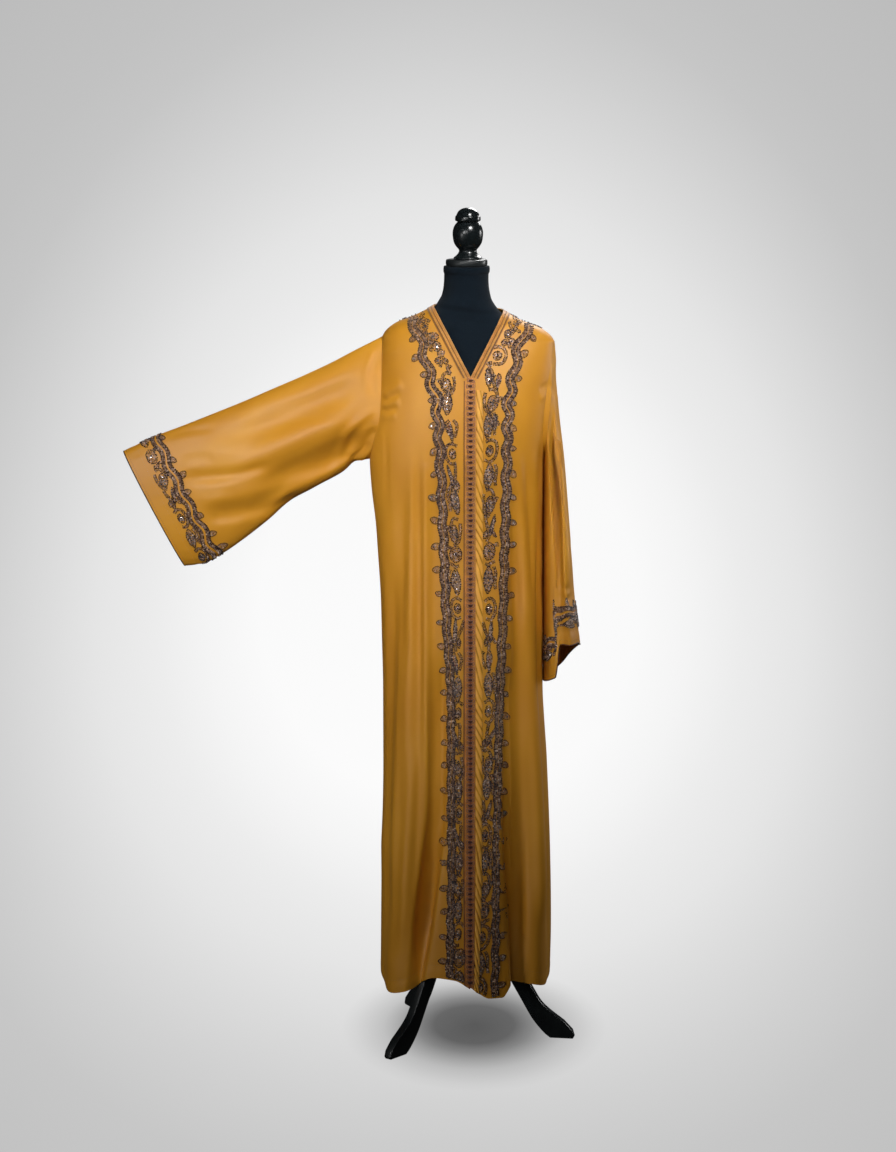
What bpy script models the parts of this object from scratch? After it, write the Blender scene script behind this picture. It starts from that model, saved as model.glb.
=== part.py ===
"""A long kaftan, closed by a row of cloth knots, on a limbless dress form with a three-legged stand.

The wearer's right is -X and their left is +X, and the front faces -Y. Every size is in metres.
Heights are measured from the floor, and places across from the middle of the neck.
"""

import math
from bisect import bisect_right

import bmesh
import bpy
from mathutils import Vector

# Cloth
CLOTH = 0.0018
SEAM_GAP = 0.0003
TRIM_GAP = 0.0004
BRAID_THICKNESS = 0.0014
NECK_BRAID_GAP = 0.0009
NECK_BRAID_GAP_BEHIND = 0.0022
SQUARENESS = 2.2

# Heights of the cut
HEM = 0.147
UNDERARM = 1.259
V_POINT = 1.4426
NECK_HALF = 0.0725
NECK_HEIGHT = 1.578
SHOULDER_TIP = 0.181
SHOULDER_TIP_HEIGHT = 1.513
FRONT_LINE = 0.004

# The shoulders lean: the wearer's right one is higher, and the form's neck is straight again above them
LEAN = 0.0062
LEAN_REACH = 0.05
LEAN_START = 1.40
LEAN_FULL = 1.54
LEAN_END = 1.585
LEAN_GONE = 1.625

# Front edges: half of the knot row, and the outer side of the braid beside it
KNOT_COLUMN = 0.0068
BRAID_COLUMN = 0.0145
V_COLUMNS = 1.12
EDGE_BRAID_STOP = 0.015

# Knots
KNOT_PITCH = 0.0112
KNOT_HALF = 0.0058
KNOT_WAIST = 0.0036
KNOT_HEIGHT = 0.0052

# Worked vine: a wavy band beside each front edge
VINE_WIDTH = 0.019
VINE_THICKNESS = 0.0016
VINE_GAP = 0.0013
VINE_WAVE = 0.056
VINE_SWING = 0.0042
VINE_STEPS = 3

# Stand
POLE_RADIUS = 0.0135
POLE_X = -0.013
LEG_THICKNESS = 0.021
LEG_TURNS = {"leg_left": -9.0, "leg_behind": 119.0, "leg_front": 230.0}

RIGHT, LEFT = -1, 1
FRONT, BACK = -1, 1


class Table:
    """Rows of sizes with named columns, read at any place along the first column as a smooth curve."""

    def __init__(self, columns, rows):
        self.columns = columns.split()
        self.rows = rows

    def read(self, column, place):
        index = self.columns.index(column)
        places = [row[0] for row in self.rows]
        values = [row[index] for row in self.rows]
        if place <= places[0]:
            return values[0]
        if place >= places[-1]:
            return values[-1]
        i = bisect_right(places, place) - 1
        span = places[i + 1] - places[i]
        rise = (values[i + 1] - values[i]) / span
        start, end = self.slope(places, values, i), self.slope(places, values, i + 1)
        t = (place - places[i]) / span
        return (
            values[i]
            + span * start * t
            + span * (3 * rise - 2 * start - end) * t**2
            + span * (start + end - 2 * rise) * t**3
        )

    @staticmethod
    def slope(places, values, i):
        """The curve's slope at a row: zero at a turn, so that it never overshoots."""
        if i == 0 or i == len(places) - 1:
            j = min(i, len(places) - 2)
            return (values[j + 1] - values[j]) / (places[j + 1] - places[j])
        before = (values[i] - values[i - 1]) / (places[i] - places[i - 1])
        after = (values[i + 1] - values[i]) / (places[i + 1] - places[i])
        return 0.0 if before * after <= 0 else 2 * before * after / (before + after)


# Half widths and depths of the kaftan's body, level by level
BODY = Table(
    "height right left front back",
    (
        (0.147, 0.189, 0.178, 0.152, 0.146),
        (0.250, 0.188, 0.180, 0.147, 0.141),
        (0.410, 0.186, 0.177, 0.138, 0.132),
        (0.610, 0.182, 0.169, 0.132, 0.129),
        (0.770, 0.182, 0.159, 0.128, 0.127),
        (0.870, 0.184, 0.159, 0.126, 0.126),
        (0.960, 0.186, 0.159, 0.122, 0.122),
        (1.060, 0.192, 0.159, 0.116, 0.112),
        (1.120, 0.196, 0.159, 0.115, 0.106),
        (1.200, 0.205, 0.159, 0.121, 0.103),
        (1.259, 0.2085, 0.160, 0.126, 0.104),
        (1.300, 0.207, 0.166, 0.127, 0.106),
        (1.345, 0.203, 0.172, 0.125, 0.108),
        (1.385, 0.198, 0.176, 0.120, 0.109),
        (1.443, 0.190, 0.1805, 0.108, 0.106),
        (1.490, 0.184, 0.1815, 0.092, 0.096),
        (1.513, 0.181, 0.181, 0.080, 0.086),
        (1.5245, 0.174, 0.174, 0.074, 0.078),
        (1.5403, 0.154, 0.154, 0.068, 0.071),
        (1.5585, 0.110, 0.110, 0.063, 0.066),
        (1.578, 0.0725, 0.0725, 0.059, 0.062),
    ),
)

# The shoulder seam, from the neck to the sleeve
SHOULDER = Table(
    "across height",
    ((0.0725, 1.578), (0.110, 1.5585), (0.154, 1.5403), (0.174, 1.5245), (0.181, 1.513)),
)

# The armhole seen from the front, on the wearer's right and left
ARMHOLE = Table(
    "height right left",
    (
        (1.259, 0.2085, 0.160),
        (1.305, 0.1986, 0.156),
        (1.345, 0.188, 0.157),
        (1.385, 0.184, 0.1605),
        (1.417, 0.183, 0.1645),
        (1.460, 0.182, 0.171),
        (1.490, 0.1812, 0.177),
        (1.513, 0.181, 0.181),
    ),
)

# How far each part of the hem hangs below the level of HEM, along each panel
HEM_DROP = {
    (FRONT, RIGHT): Table(
        "along drop",
        (
            (0.00, 0.004),
            (0.12, -0.014),
            (0.28, -0.018),
            (0.40, -0.004),
            (0.52, 0.020),
            (0.66, 0.028),
            (0.85, 0.010),
            (1.00, 0.000),
        ),
    ),
    (FRONT, LEFT): Table(
        "along drop",
        (
            (0.00, 0.000),
            (0.07, 0.014),
            (0.16, 0.026),
            (0.27, 0.026),
            (0.36, 0.000),
            (0.50, 0.004),
            (0.70, 0.014),
            (1.00, 0.000),
        ),
    ),
    (BACK, 0): Table(
        "along drop",
        ((0.00, 0.000), (0.20, 0.012), (0.40, -0.004), (0.55, 0.010), (0.80, 0.006), (1.00, 0.000)),
    ),
}
HEM_BLEND = 0.30

# Folds of the fronts, measured from the front edge; a depth below zero stands out.
# Columns: low_place, high_place, inner, outer, depth, start, full, end
FOLD_FADE = 0.15
FRONT_FOLDS = {
    RIGHT: (
        (0.120, 0.062, 0.024, 0.027, 0.024, 0.58, 0.17, 0.0),
        (0.120, 0.062, 0.024, 0.027, 0.018, 0.58, 0.33, 0.225),
        (0.178, 0.150, 0.050, 0.050, -0.010, 0.80, 0.25, 0.0),
        (0.092, 0.092, 0.018, 0.022, -0.005, 1.33, 1.10, 0.50),
        (0.140, 0.122, 0.022, 0.026, -0.006, 1.25, 0.95, 0.30),
        (0.200, 0.175, 0.026, 0.030, 0.006, 1.15, 0.90, 0.30),
    ),
    LEFT: (
        (0.104, 0.090, 0.017, 0.055, 0.032, 0.66, 0.17, 0.0),
        (0.165, 0.140, 0.045, 0.050, -0.010, 0.75, 0.25, 0.0),
        (0.128, 0.098, 0.020, 0.026, 0.008, 1.33, 0.95, 0.35),
        (0.168, 0.128, 0.020, 0.030, -0.007, 1.30, 0.95, 0.30),
        (0.200, 0.160, 0.022, 0.026, 0.007, 1.25, 0.90, 0.30),
    ),
}

# Folds of the back, measured from the middle of the back towards the wearer's left
BACK_FOLDS = (
    (-0.180, -0.120, 0.040, 0.050, 0.022, 1.15, 0.25, 0.0),
    (-0.090, -0.068, 0.035, 0.035, -0.013, 1.10, 0.40, 0.0),
    (-0.018, -0.004, 0.038, 0.040, 0.025, 1.00, 0.20, 0.0),
    (0.060, 0.050, 0.035, 0.040, -0.012, 1.10, 0.35, 0.0),
    (0.130, 0.095, 0.040, 0.045, 0.024, 1.15, 0.25, 0.0),
)

# Sleeve sections: the upper and lower edge as seen from the front, and the half depth
SLEEVE = {
    RIGHT: Table(
        "along top_x top_z low_x low_z depth back_by",
        (
            (0.00, 0.181, 1.513, 0.2085, 1.259, 0.052, 0.000),
            (0.10, 0.240, 1.4865, 0.236, 1.254, 0.050, 0.004),
            (0.20, 0.293, 1.4600, 0.268, 1.2290, 0.048, 0.008),
            (0.31, 0.353, 1.4320, 0.322, 1.1990, 0.046, 0.012),
            (0.42, 0.4146, 1.4053, 0.376, 1.1670, 0.044, 0.016),
            (0.53, 0.475, 1.3790, 0.429, 1.1230, 0.042, 0.018),
            (0.64, 0.5354, 1.3545, 0.480, 1.0830, 0.040, 0.020),
            (0.76, 0.602, 1.3280, 0.5265, 1.0510, 0.038, 0.022),
            (0.88, 0.665, 1.3040, 0.566, 1.0310, 0.036, 0.022),
            (1.00, 0.731, 1.2730, 0.604, 1.0264, 0.033, 0.022),
        ),
    ),
    LEFT: Table(
        "along top_x top_z low_x low_z depth back_by",
        (
            (0.00, 0.181, 1.513, 0.160, 1.259, 0.052, 0.000),
            (0.08, 0.1862, 1.457, 0.1690, 1.247, 0.058, 0.004),
            (0.16, 0.1905, 1.400, 0.1725, 1.222, 0.066, 0.008),
            (0.28, 0.1965, 1.320, 0.1735, 1.170, 0.078, 0.012),
            (0.42, 0.2040, 1.225, 0.1735, 1.105, 0.088, 0.016),
            (0.56, 0.2125, 1.125, 0.1715, 1.030, 0.096, 0.018),
            (0.70, 0.2220, 1.035, 0.1690, 0.955, 0.102, 0.020),
            (0.84, 0.2285, 0.950, 0.1675, 0.880, 0.104, 0.020),
            (0.93, 0.2350, 0.898, 0.1670, 0.828, 0.104, 0.020),
            (1.00, 0.2400, 0.858, 0.1675, 0.782, 0.104, 0.020),
        ),
    ),
}

# Sleeve folds: where they lie round the sleeve in degrees (0 under the arm, 90 in front, 180 above).
# Columns: near_angle, far_angle, half_angle, depth, near, far
SLEEVE_FOLD_RISE = 0.12
SLEEVE_FOLD_FADE = 0.20
SLEEVE_FOLDS = {
    RIGHT: (
        (48, 62, 24, 0.012, 0.02, 0.62),
        (78, 96, 22, -0.007, 0.10, 0.80),
        (112, 118, 26, 0.008, 0.05, 0.70),
        (255, 285, 26, 0.009, 0.05, 0.75),
        (318, 300, 24, -0.007, 0.05, 0.60),
    ),
    LEFT: (
        (96, 84, 26, 0.016, 0.15, 1.30),
        (140, 128, 22, -0.005, 0.10, 0.90),
        (262, 272, 30, 0.014, 0.20, 1.20),
        (215, 225, 24, -0.006, 0.20, 1.10),
    ),
}
CUFF_DROP_BACK = {RIGHT: 0.004, LEFT: 0.020}
CUFF_DROP_START = 0.7
ARMHOLE_BLEND = 0.22

# Levels of the skirt and shares of the height from underarm to shoulder
SKIRT_LEVELS = (HEM, 0.185, 0.235, 0.30, 0.38, 0.48, 0.60, 0.72, 0.84, 0.95, 1.05, 1.13, 1.20, UNDERARM)
V_SHARE = (V_POINT - UNDERARM) / (NECK_HEIGHT - UNDERARM)
YOKE_SHARES = (0.07, 0.17, 0.30, 0.44, V_SHARE, 0.70, 0.80, 0.885, 0.945, 0.985, 1.0)
FRONT_SHARES = (0.10, 0.19, 0.26, 0.32, 0.38, 0.44, 0.51, 0.58, 0.65, 0.72, 0.79, 0.86, 0.93, 1.0)
BACK_COLUMNS = (6, 8, 6)
BACK_NECK_ROWS = 5
ROW_SAMPLES = 90
SLEEVE_STEPS = (0.05, 0.12, 0.20, 0.29, 0.38, 0.47, 0.56, 0.65, 0.74, 0.82, 0.88, 0.955, 1.0)
CUFF_BAND_ROWS = (11, 12)
CUFF_BAND_GAP = 0.0005

# Dress form, level by level; its neck stands a little to the wearer's right
FORM = Table(
    "height half front back across",
    (
        (0.862, 0.120, 0.080, 0.082, 0),
        (0.872, 0.134, 0.094, 0.096, 0),
        (0.930, 0.145, 0.104, 0.107, 0),
        (1.000, 0.144, 0.102, 0.106, 0),
        (1.080, 0.128, 0.090, 0.092, 0),
        (1.150, 0.118, 0.084, 0.080, 0),
        (1.240, 0.126, 0.096, 0.080, 0),
        (1.320, 0.136, 0.108, 0.086, 0),
        (1.380, 0.138, 0.102, 0.090, 0),
        (1.440, 0.148, 0.090, 0.088, 0),
        (1.480, 0.162, 0.077, 0.080, 0),
        (1.510, 0.169, 0.069, 0.074, 0),
        (1.5246, 0.1655, 0.0640, 0.0680, 0),
        (1.5371, 0.1520, 0.0600, 0.0640, 0),
        (1.5471, 0.1280, 0.0560, 0.0600, 0),
        (1.5551, 0.1080, 0.0530, 0.0570, 0),
        (1.5645, 0.0870, 0.0510, 0.0550, -0.0005),
        (1.5735, 0.0700, 0.0500, 0.0540, -0.0015),
        (1.5830, 0.0630, 0.0530, 0.0545, -0.0030),
        (1.5930, 0.0565, 0.0505, 0.0515, -0.0040),
        (1.6030, 0.0516, 0.0485, 0.0490, -0.0045),
        (1.6240, 0.0475, 0.0470, 0.0470, -0.0048),
        (1.6480, 0.0466, 0.0466, 0.0466, -0.0045),
        (1.6530, 0.0482, 0.0482, 0.0482, -0.0042),
        (1.6600, 0.0487, 0.0487, 0.0487, -0.0040),
        (1.6655, 0.0478, 0.0478, 0.0478, -0.0040),
    ),
)
FORM_SIDES = 28

# Turned wood, from the bottom up: height and radius
DISC_X = -0.0040
FINIAL_X = -0.0015
DISC = (
    (1.6660, 0.0400),
    (1.6672, 0.0430),
    (1.6700, 0.0437),
    (1.6760, 0.0437),
    (1.6792, 0.0425),
    (1.6800, 0.0400),
)
FINIAL = (
    (1.6803, 0.0290),
    (1.6835, 0.0297),
    (1.6885, 0.0235),
    (1.6950, 0.0190),
    (1.7000, 0.0192),
    (1.7070, 0.0250),
    (1.7170, 0.0300),
    (1.7350, 0.0320),
    (1.7480, 0.0290),
    (1.7560, 0.0235),
    (1.7585, 0.0222),
    (1.7600, 0.0262),
    (1.7640, 0.0268),
    (1.7690, 0.0262),
    (1.7710, 0.0245),
    (1.7790, 0.0205),
    (1.7845, 0.0135),
    (1.7870, 0.0050),
)
HUB = ((0.180, 0.020), (0.187, 0.029), (0.258, 0.029), (0.269, 0.026), (0.277, 0.020))
POLE = ((0.2773, POLE_RADIUS), (0.8617, POLE_RADIUS))
ROUND_SIDES = 20

# The leg's outline seen from the side: distance from the pole and height
LEG_UNDER = (
    (0.0293, 0.201),
    (0.060, 0.192),
    (0.085, 0.166),
    (0.104, 0.131),
    (0.129, 0.087),
    (0.155, 0.042),
    (0.180, 0.012),
    (0.195, 0.000),
)
LEG_UPPER = (
    (0.0293, 0.245),
    (0.060, 0.239),
    (0.095, 0.213),
    (0.123, 0.170),
    (0.143, 0.132),
    (0.158, 0.105),
    (0.174, 0.079),
    (0.194, 0.060),
    (0.224, 0.038),
)
LEG_TOE = ((0.243, 0.018), (0.247, 0.0045), (0.244, 0.000))
LEG_BEVEL = 0.0025

# The middle of each vine as seen from the front, from the hem to the shoulder
VINE = {
    RIGHT: Table(
        "height across",
        (
            (0.175, 0.039),
            (0.400, 0.036),
            (0.750, 0.036),
            (0.950, 0.047),
            (1.170, 0.055),
            (1.385, 0.066),
            (1.443, 0.080),
            (1.500, 0.096),
        ),
    ),
    LEFT: Table(
        "height across",
        (
            (0.175, 0.057),
            (0.400, 0.059),
            (0.750, 0.065),
            (0.950, 0.072),
            (1.170, 0.077),
            (1.385, 0.082),
            (1.443, 0.092),
            (1.500, 0.104),
        ),
    ),
}

# How edges are shaded and bevelled, in degrees
SMOOTH_ANGLE = 50
BEVEL_ANGLE = 60

# Rounds and halvings with which a place on a sheet is found
PLACE_ROUNDS = 12
SEARCH_STEPS = 24


def mix(a, b, share):
    return a + (b - a) * share


def ease(t):
    """Rises softly from 0 to 1."""
    t = min(1.0, max(0.0, t))
    return t * t * (3 - 2 * t)


def hump(t):
    """1 in the middle and 0 from -1 and 1 outwards."""
    return 0.5 * (1 + math.cos(math.pi * t)) if abs(t) < 1 else 0.0


def lean(across, height):
    """How far a point near the shoulders lies above its place on a level figure."""
    grown = ease((height - LEAN_START) / (LEAN_FULL - LEAN_START))
    gone = ease((height - LEAN_END) / (LEAN_GONE - LEAN_END))
    return -LEAN * across / math.hypot(across, LEAN_REACH) * grown * (1 - gone)


def half_width(height, across):
    return BODY.read("right" if across < 0 else "left", height)


def body_depth(face, across, height):
    """How far in front or behind the body's surface lies, seen from the front."""
    ratio = min(1.0, abs(across) / half_width(height, across))
    reach = BODY.read("front" if face == FRONT else "back", height)
    return face * reach * (1 - ratio**SQUARENESS) ** (1 / SQUARENESS)


def shoulder_height(across):
    return SHOULDER.read("height", abs(across))


def side_name(side):
    return "right" if side == RIGHT else "left"


def along(curve, distances):
    """Points on a polyline at these distances from its start."""
    lengths = [0.0]
    for a, b in zip(curve, curve[1:]):
        lengths.append(lengths[-1] + (b - a).length)
    points = []
    for distance in distances:
        distance = min(distance, lengths[-1])
        i = min(bisect_right(lengths, distance) - 1, len(curve) - 2)
        span = lengths[i + 1] - lengths[i]
        points.append(curve[i].lerp(curve[i + 1], (distance - lengths[i]) / span if span else 0.0))
    return points


def length_of(curve):
    return sum((b - a).length for a, b in zip(curve, curve[1:]))


def fold_offset(folds, place, height):
    """How far the folds push the cloth in at a place across and a height."""
    offset = 0.0
    for low_place, high_place, inner, outer, depth, start, full, end in folds:
        if height > start:
            continue
        centre = mix(high_place, low_place, (start - height) / (start - HEM))
        away = place - centre
        spread = hump(away / (outer if away > 0 else inner))
        grown = ease((start - height) / (start - full))
        faded = ease((height - end) / FOLD_FADE + 0.5) if end else 1.0
        offset += depth * spread * grown * faded
    return offset


def front_row(side, share):
    """A dense curve across one front, and how far along it the first columns lie.

    A share below zero is a level of the skirt; from 0 to 1 it climbs from underarm to shoulder.
    """
    if share < 0:
        height = -share
        end = side * half_width(height, side)
        edge = FRONT_LINE
    else:
        height = mix(UNDERARM, NECK_HEIGHT, share)
        end_height = mix(UNDERARM, SHOULDER_TIP_HEIGHT, share)
        end = side * ARMHOLE.read(side_name(side), end_height)
        open_share = max(0.0, (height - V_POINT) / (NECK_HEIGHT - V_POINT))
        edge = mix(FRONT_LINE, side * NECK_HALF, open_share)
    curve = []
    for i in range(ROW_SAMPLES + 1):
        t = math.sin(i / ROW_SAMPLES * math.pi / 2)
        x = mix(edge, end, t)
        z = height
        if share >= 0:
            z = mix(UNDERARM, shoulder_height(mix(NECK_HALF, SHOULDER_TIP, t)), share)
        y = body_depth(FRONT, x, z)
        if share == 1.0:
            y = 0.0
        curve.append(Vector((x, y, z + lean(x, z))))
    return curve


def back_row(share):
    """A dense curve across the back, from the wearer's right to their left."""
    if share < 0:
        height = -share
        start, end = -half_width(height, -1), half_width(height, 1)
    else:
        end_height = mix(UNDERARM, SHOULDER_TIP_HEIGHT, share)
        start = -ARMHOLE.read("right", end_height)
        end = ARMHOLE.read("left", end_height)
    curve = []
    for i in range(2 * ROW_SAMPLES + 1):
        t = math.sin((i / ROW_SAMPLES - 1) * math.pi / 2)
        x = mix(start, end, (t + 1) / 2)
        if share < 0:
            z = height
        else:
            z = mix(UNDERARM, shoulder_height(max(NECK_HALF, abs(t) * SHOULDER_TIP)), share)
        y = body_depth(BACK, x, z)
        if share == 1.0 and abs(x) >= NECK_HALF:
            y = 0.0
        curve.append(Vector((x, y, z + lean(x, z))))
    return curve


ROW_KEYS = tuple(-level for level in SKIRT_LEVELS) + YOKE_SHARES
UNDERARM_ROW = len(SKIRT_LEVELS) - 1
V_ROW = UNDERARM_ROW + 1 + YOKE_SHARES.index(V_SHARE)


class Sheet:
    """A grid of points on the outside of the cloth, with the way out at each point."""

    def __init__(self, points, round_about=False):
        self.points = points
        self.round_about = round_about
        self.rows, self.columns = len(points), len(points[0])
        self.outward = [[self.normal(i, j) for j in range(self.columns)] for i in range(self.rows)]

    def normal(self, i, j):
        up = self.points[min(i + 1, self.rows - 1)][j] - self.points[max(i - 1, 0)][j]
        if self.round_about:
            after, before = (j + 1) % self.columns, (j - 1) % self.columns
        else:
            after, before = min(j + 1, self.columns - 1), max(j - 1, 0)
        return (self.points[i][after] - self.points[i][before]).cross(up).normalized()

    def flip(self):
        self.outward = [[-way for way in row] for row in self.outward]

    def level(self, i, j, axis):
        """Keeps the way out at a point clear of one axis, so that a seam's edges stay parallel."""
        way = self.outward[i][j].copy()
        way[axis] = 0.0
        self.outward[i][j] = way.normalized()

    def moved(self, distance):
        return [
            [point + way * distance for point, way in zip(*rows)] for rows in zip(self.points, self.outward)
        ]

    def at(self, row, column):
        """Point and way out at a place between the grid's lines."""
        i, j = min(int(row), self.rows - 2), min(int(column), self.columns - 2)
        u, v = row - i, column - j
        blend = []
        for grid in (self.points, self.outward):
            low = grid[i][j].lerp(grid[i][j + 1], v)
            high = grid[i + 1][j].lerp(grid[i + 1][j + 1], v)
            blend.append(low.lerp(high, u))
        return blend[0], blend[1].normalized()

    def place(self, across, height):
        """Row and column of the point that the front view shows at this place."""
        row, column = self.rows / 2, 1.0
        for _ in range(PLACE_ROUNDS):
            column = self.search(lambda c: abs(self.at(row, c)[0].x), abs(across), self.columns - 1)
            row = self.search(lambda r: self.at(r, column)[0].z, height, self.rows - 1)
        return row, column

    @staticmethod
    def search(measure, target, most):
        low, high = 0.0, float(most)
        for _ in range(SEARCH_STEPS):
            middle = (low + high) / 2
            if measure(middle) < target:
                low = middle
            else:
                high = middle
        return (low + high) / 2


def folded(points, folds, places, height):
    """A row moved in and out by its folds, square to its own line."""
    moved = []
    for j, point in enumerate(points):
        before, after = points[max(j - 1, 0)], points[min(j + 1, len(points) - 1)]
        run = after - before
        inward = Vector((-run.y, run.x, 0)).normalized()
        if inward.dot(Vector((point.x, point.y, 0))) > 0:
            inward = -inward
        moved.append(point + inward * fold_offset(folds, places[j], height))
    return moved


def hung(points, face, side, height, shares):
    """A row of the skirt let down to the hem's own line."""
    share = 1 - ease((height - HEM) / HEM_BLEND)
    table = HEM_DROP[(face, side)]
    return [
        Vector((p.x, p.y, p.z - share * table.read("drop", along_share)))
        for p, along_share in zip(points, shares)
    ]


def front_sheet(side):
    grid = []
    for key in ROW_KEYS:
        curve = front_row(side, key)
        total = length_of(curve)
        widen = V_COLUMNS if key >= V_SHARE else 1.0
        first = [0.0, KNOT_COLUMN * widen, BRAID_COLUMN * widen]
        places = first + [mix(first[-1], total, share) for share in FRONT_SHARES]
        row = along(curve, places)
        if key < 0:
            row = folded(row, FRONT_FOLDS[side], places, -key)
            row = hung(row, FRONT, side, -key, [place / total for place in places])
            row[-1].x = curve[-1].x
        if key <= V_SHARE:
            row[0].x = FRONT_LINE + side * SEAM_GAP / 2
        if key < 0 or key == 1.0:
            seam = row if key == 1.0 else row[-1:]
            for point in seam:
                point.y = -SEAM_GAP / 2
        grid.append(row)
    sheet = Sheet(grid)
    if side == RIGHT:
        sheet.flip()
    for i in range(V_ROW):
        sheet.level(i, 0, 0)
    for i in range(UNDERARM_ROW + 1):
        sheet.level(i, -1, 1)
    for j in range(sheet.columns):
        sheet.level(-1, j, 1)
    return sheet


def back_sheet():
    top = back_row(1.0)
    total = length_of(top)
    seam = [(a, b) for a, b in zip(top, top[1:]) if max(abs(a.x), abs(b.x)) > NECK_HALF]
    corner = sum((b - a).length for a, b in seam) / 2 / total
    marks = (0.0, corner, 1 - corner, 1.0)
    shares = [0.0]
    for start, end, count in zip(marks, marks[1:], BACK_COLUMNS):
        shares += [mix(start, end, (k + 1) / count) for k in range(count)]
    grid = []
    for key in ROW_KEYS:
        curve = back_row(key)
        total = length_of(curve)
        row = along(curve, [share * total for share in shares])
        if key < 0:
            places = [(share - 0.5) * total for share in shares]
            ends = row[0].x, row[-1].x
            row = folded(row, BACK_FOLDS, places, -key)
            row = hung(row, BACK, 0, -key, shares)
            row[0].x, row[-1].x = ends
            row[0].y = row[-1].y = SEAM_GAP / 2
        if key == 1.0:
            for point in row:
                point.y = max(point.y, SEAM_GAP / 2)
        grid.append(row)
    sheet = Sheet(grid)
    sheet.flip()
    for i in range(UNDERARM_ROW + 1):
        sheet.level(i, 0, 1)
        sheet.level(i, -1, 1)
    for j in range(sheet.columns):
        if j <= BACK_COLUMNS[0] or j >= sheet.columns - 1 - BACK_COLUMNS[2]:
            sheet.level(-1, j, 1)
    return sheet


def armhole_loop(side, front, back):
    """The armhole's points, from under the arm up the front and down the back, and their sheets' corners."""
    back_column = 0 if side == RIGHT else -1
    top = len(ROW_KEYS) - 1
    loop = []
    for i in range(UNDERARM_ROW, top + 1):
        loop.append((front, i, -1))
    for i in range(top - 1, UNDERARM_ROW, -1):
        loop.append((back, i, back_column))
    return loop


def sleeve_point(side, share, angle):
    """A point on the sleeve's own form, before it is joined to the armhole."""
    table = SLEEVE[side]
    top = Vector((side * table.read("top_x", share), 0, table.read("top_z", share)))
    low = Vector((side * table.read("low_x", share), 0, table.read("low_z", share)))
    centre, reach = (top + low) / 2, (top - low) / 2
    depth = table.read("depth", share)
    point = centre - reach * math.cos(angle)
    point.y = table.read("back_by", share) - depth * math.sin(angle)
    for near_angle, far_angle, half_angle, fold, near, far in SLEEVE_FOLDS[side]:
        middle = math.radians(mix(near_angle, far_angle, share))
        away = (angle - middle + math.pi) % (2 * math.pi) - math.pi
        strength = hump(away / math.radians(half_angle))
        strength *= ease((share - near) / SLEEVE_FOLD_RISE) * ease((far - share) / SLEEVE_FOLD_FADE)
        point.y += math.copysign(1, math.sin(angle)) * fold * strength
    if math.sin(angle) < 0:
        late = ease((share - CUFF_DROP_START) / (1 - CUFF_DROP_START))
        point.z += CUFF_DROP_BACK[side] * math.sin(angle) * late
    return point


def sleeve_sheet(side, front, back):
    loop = armhole_loop(side, front, back)
    seam = [sheet.points[i][j].copy() for sheet, i, j in loop]
    top = len(YOKE_SHARES)
    seam[0].y = seam[top].y = 0.0
    angles = []
    for turn, half in enumerate((seam[: top + 1], seam[top:] + seam[:1])):
        total = length_of(half)
        for k in range(len(half) - 1):
            angles.append(math.pi * (turn + length_of(half[: k + 1]) / total))
    gap = Vector((side * SEAM_GAP, 0, 0))
    grid = [[point + gap for point in seam]]
    for share in SLEEVE_STEPS:
        hold = max(0.0, 1 - share / ARMHOLE_BLEND) ** 2
        row = []
        for point, angle in zip(seam, angles):
            start = sleeve_point(side, 0.0, angle)
            row.append(sleeve_point(side, share, angle) + (point - start) * hold)
        grid.append(row)
    sheet = Sheet(grid, round_about=True)
    if side == LEFT:
        sheet.flip()
    for k, (panel, i, j) in enumerate(loop):
        way = panel.outward[i][j] + sheet.outward[0][k]
        way.x = 0.0
        way.normalize()
        panel.outward[i][j] = way
        sheet.outward[0][k] = way.copy()
    back_column = 0 if side == RIGHT else -1
    back.outward[UNDERARM_ROW][back_column] = front.outward[UNDERARM_ROW][-1].copy()
    back.outward[-1][back_column] = front.outward[-1][-1].copy()
    return sheet


def finish(name, colour, roughness, metallic=0.0):
    material = bpy.data.materials.new(name)
    material.use_nodes = True
    shader = material.node_tree.nodes["Principled BSDF"]
    shader.inputs["Base Color"].default_value = (*colour, 1.0)
    shader.inputs["Roughness"].default_value = roughness
    shader.inputs["Metallic"].default_value = metallic
    return material


def add_object(name, points, faces, material, smooth=True):
    """A closed mesh object with its faces pointing out."""
    shape = bmesh.new()
    corners = [shape.verts.new(point) for point in points]
    for face in faces:
        shape.faces.new([corners[k] for k in face])
    bmesh.ops.recalc_face_normals(shape, faces=shape.faces)
    mesh = bpy.data.meshes.new(name)
    shape.to_mesh(mesh)
    shape.free()
    if smooth:
        mesh.shade_smooth()
        mesh.set_sharp_from_angle(angle=math.radians(SMOOTH_ANGLE))
    mesh.materials.append(material)
    solid = bpy.data.objects.new(name, mesh)
    bpy.context.scene.collection.objects.link(solid)
    return solid


def wall(name, outer, inner, material, round_about=False):
    """A closed wall between two grids of points; a round one has its ends open to the hollow."""
    rows, columns = len(outer), len(outer[0])
    points = [p for row in outer for p in row] + [p for row in inner for p in row]
    count = rows * columns
    faces = []
    spans = columns if round_about else columns - 1
    for i in range(rows - 1):
        for j in range(spans):
            a, b = i * columns + j, i * columns + (j + 1) % columns
            c, d = b + columns, a + columns
            faces += [(a, b, c, d), (a + count, d + count, c + count, b + count)]
    for i in (0, rows - 1):
        for j in range(spans):
            a, b = i * columns + j, i * columns + (j + 1) % columns
            faces.append((a, b, b + count, a + count))
    if not round_about:
        for j in (0, columns - 1):
            for i in range(rows - 1):
                a, d = i * columns + j, (i + 1) * columns + j
                faces.append((a, d, d + count, a + count))
    return add_object(name, points, faces, material)


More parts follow.
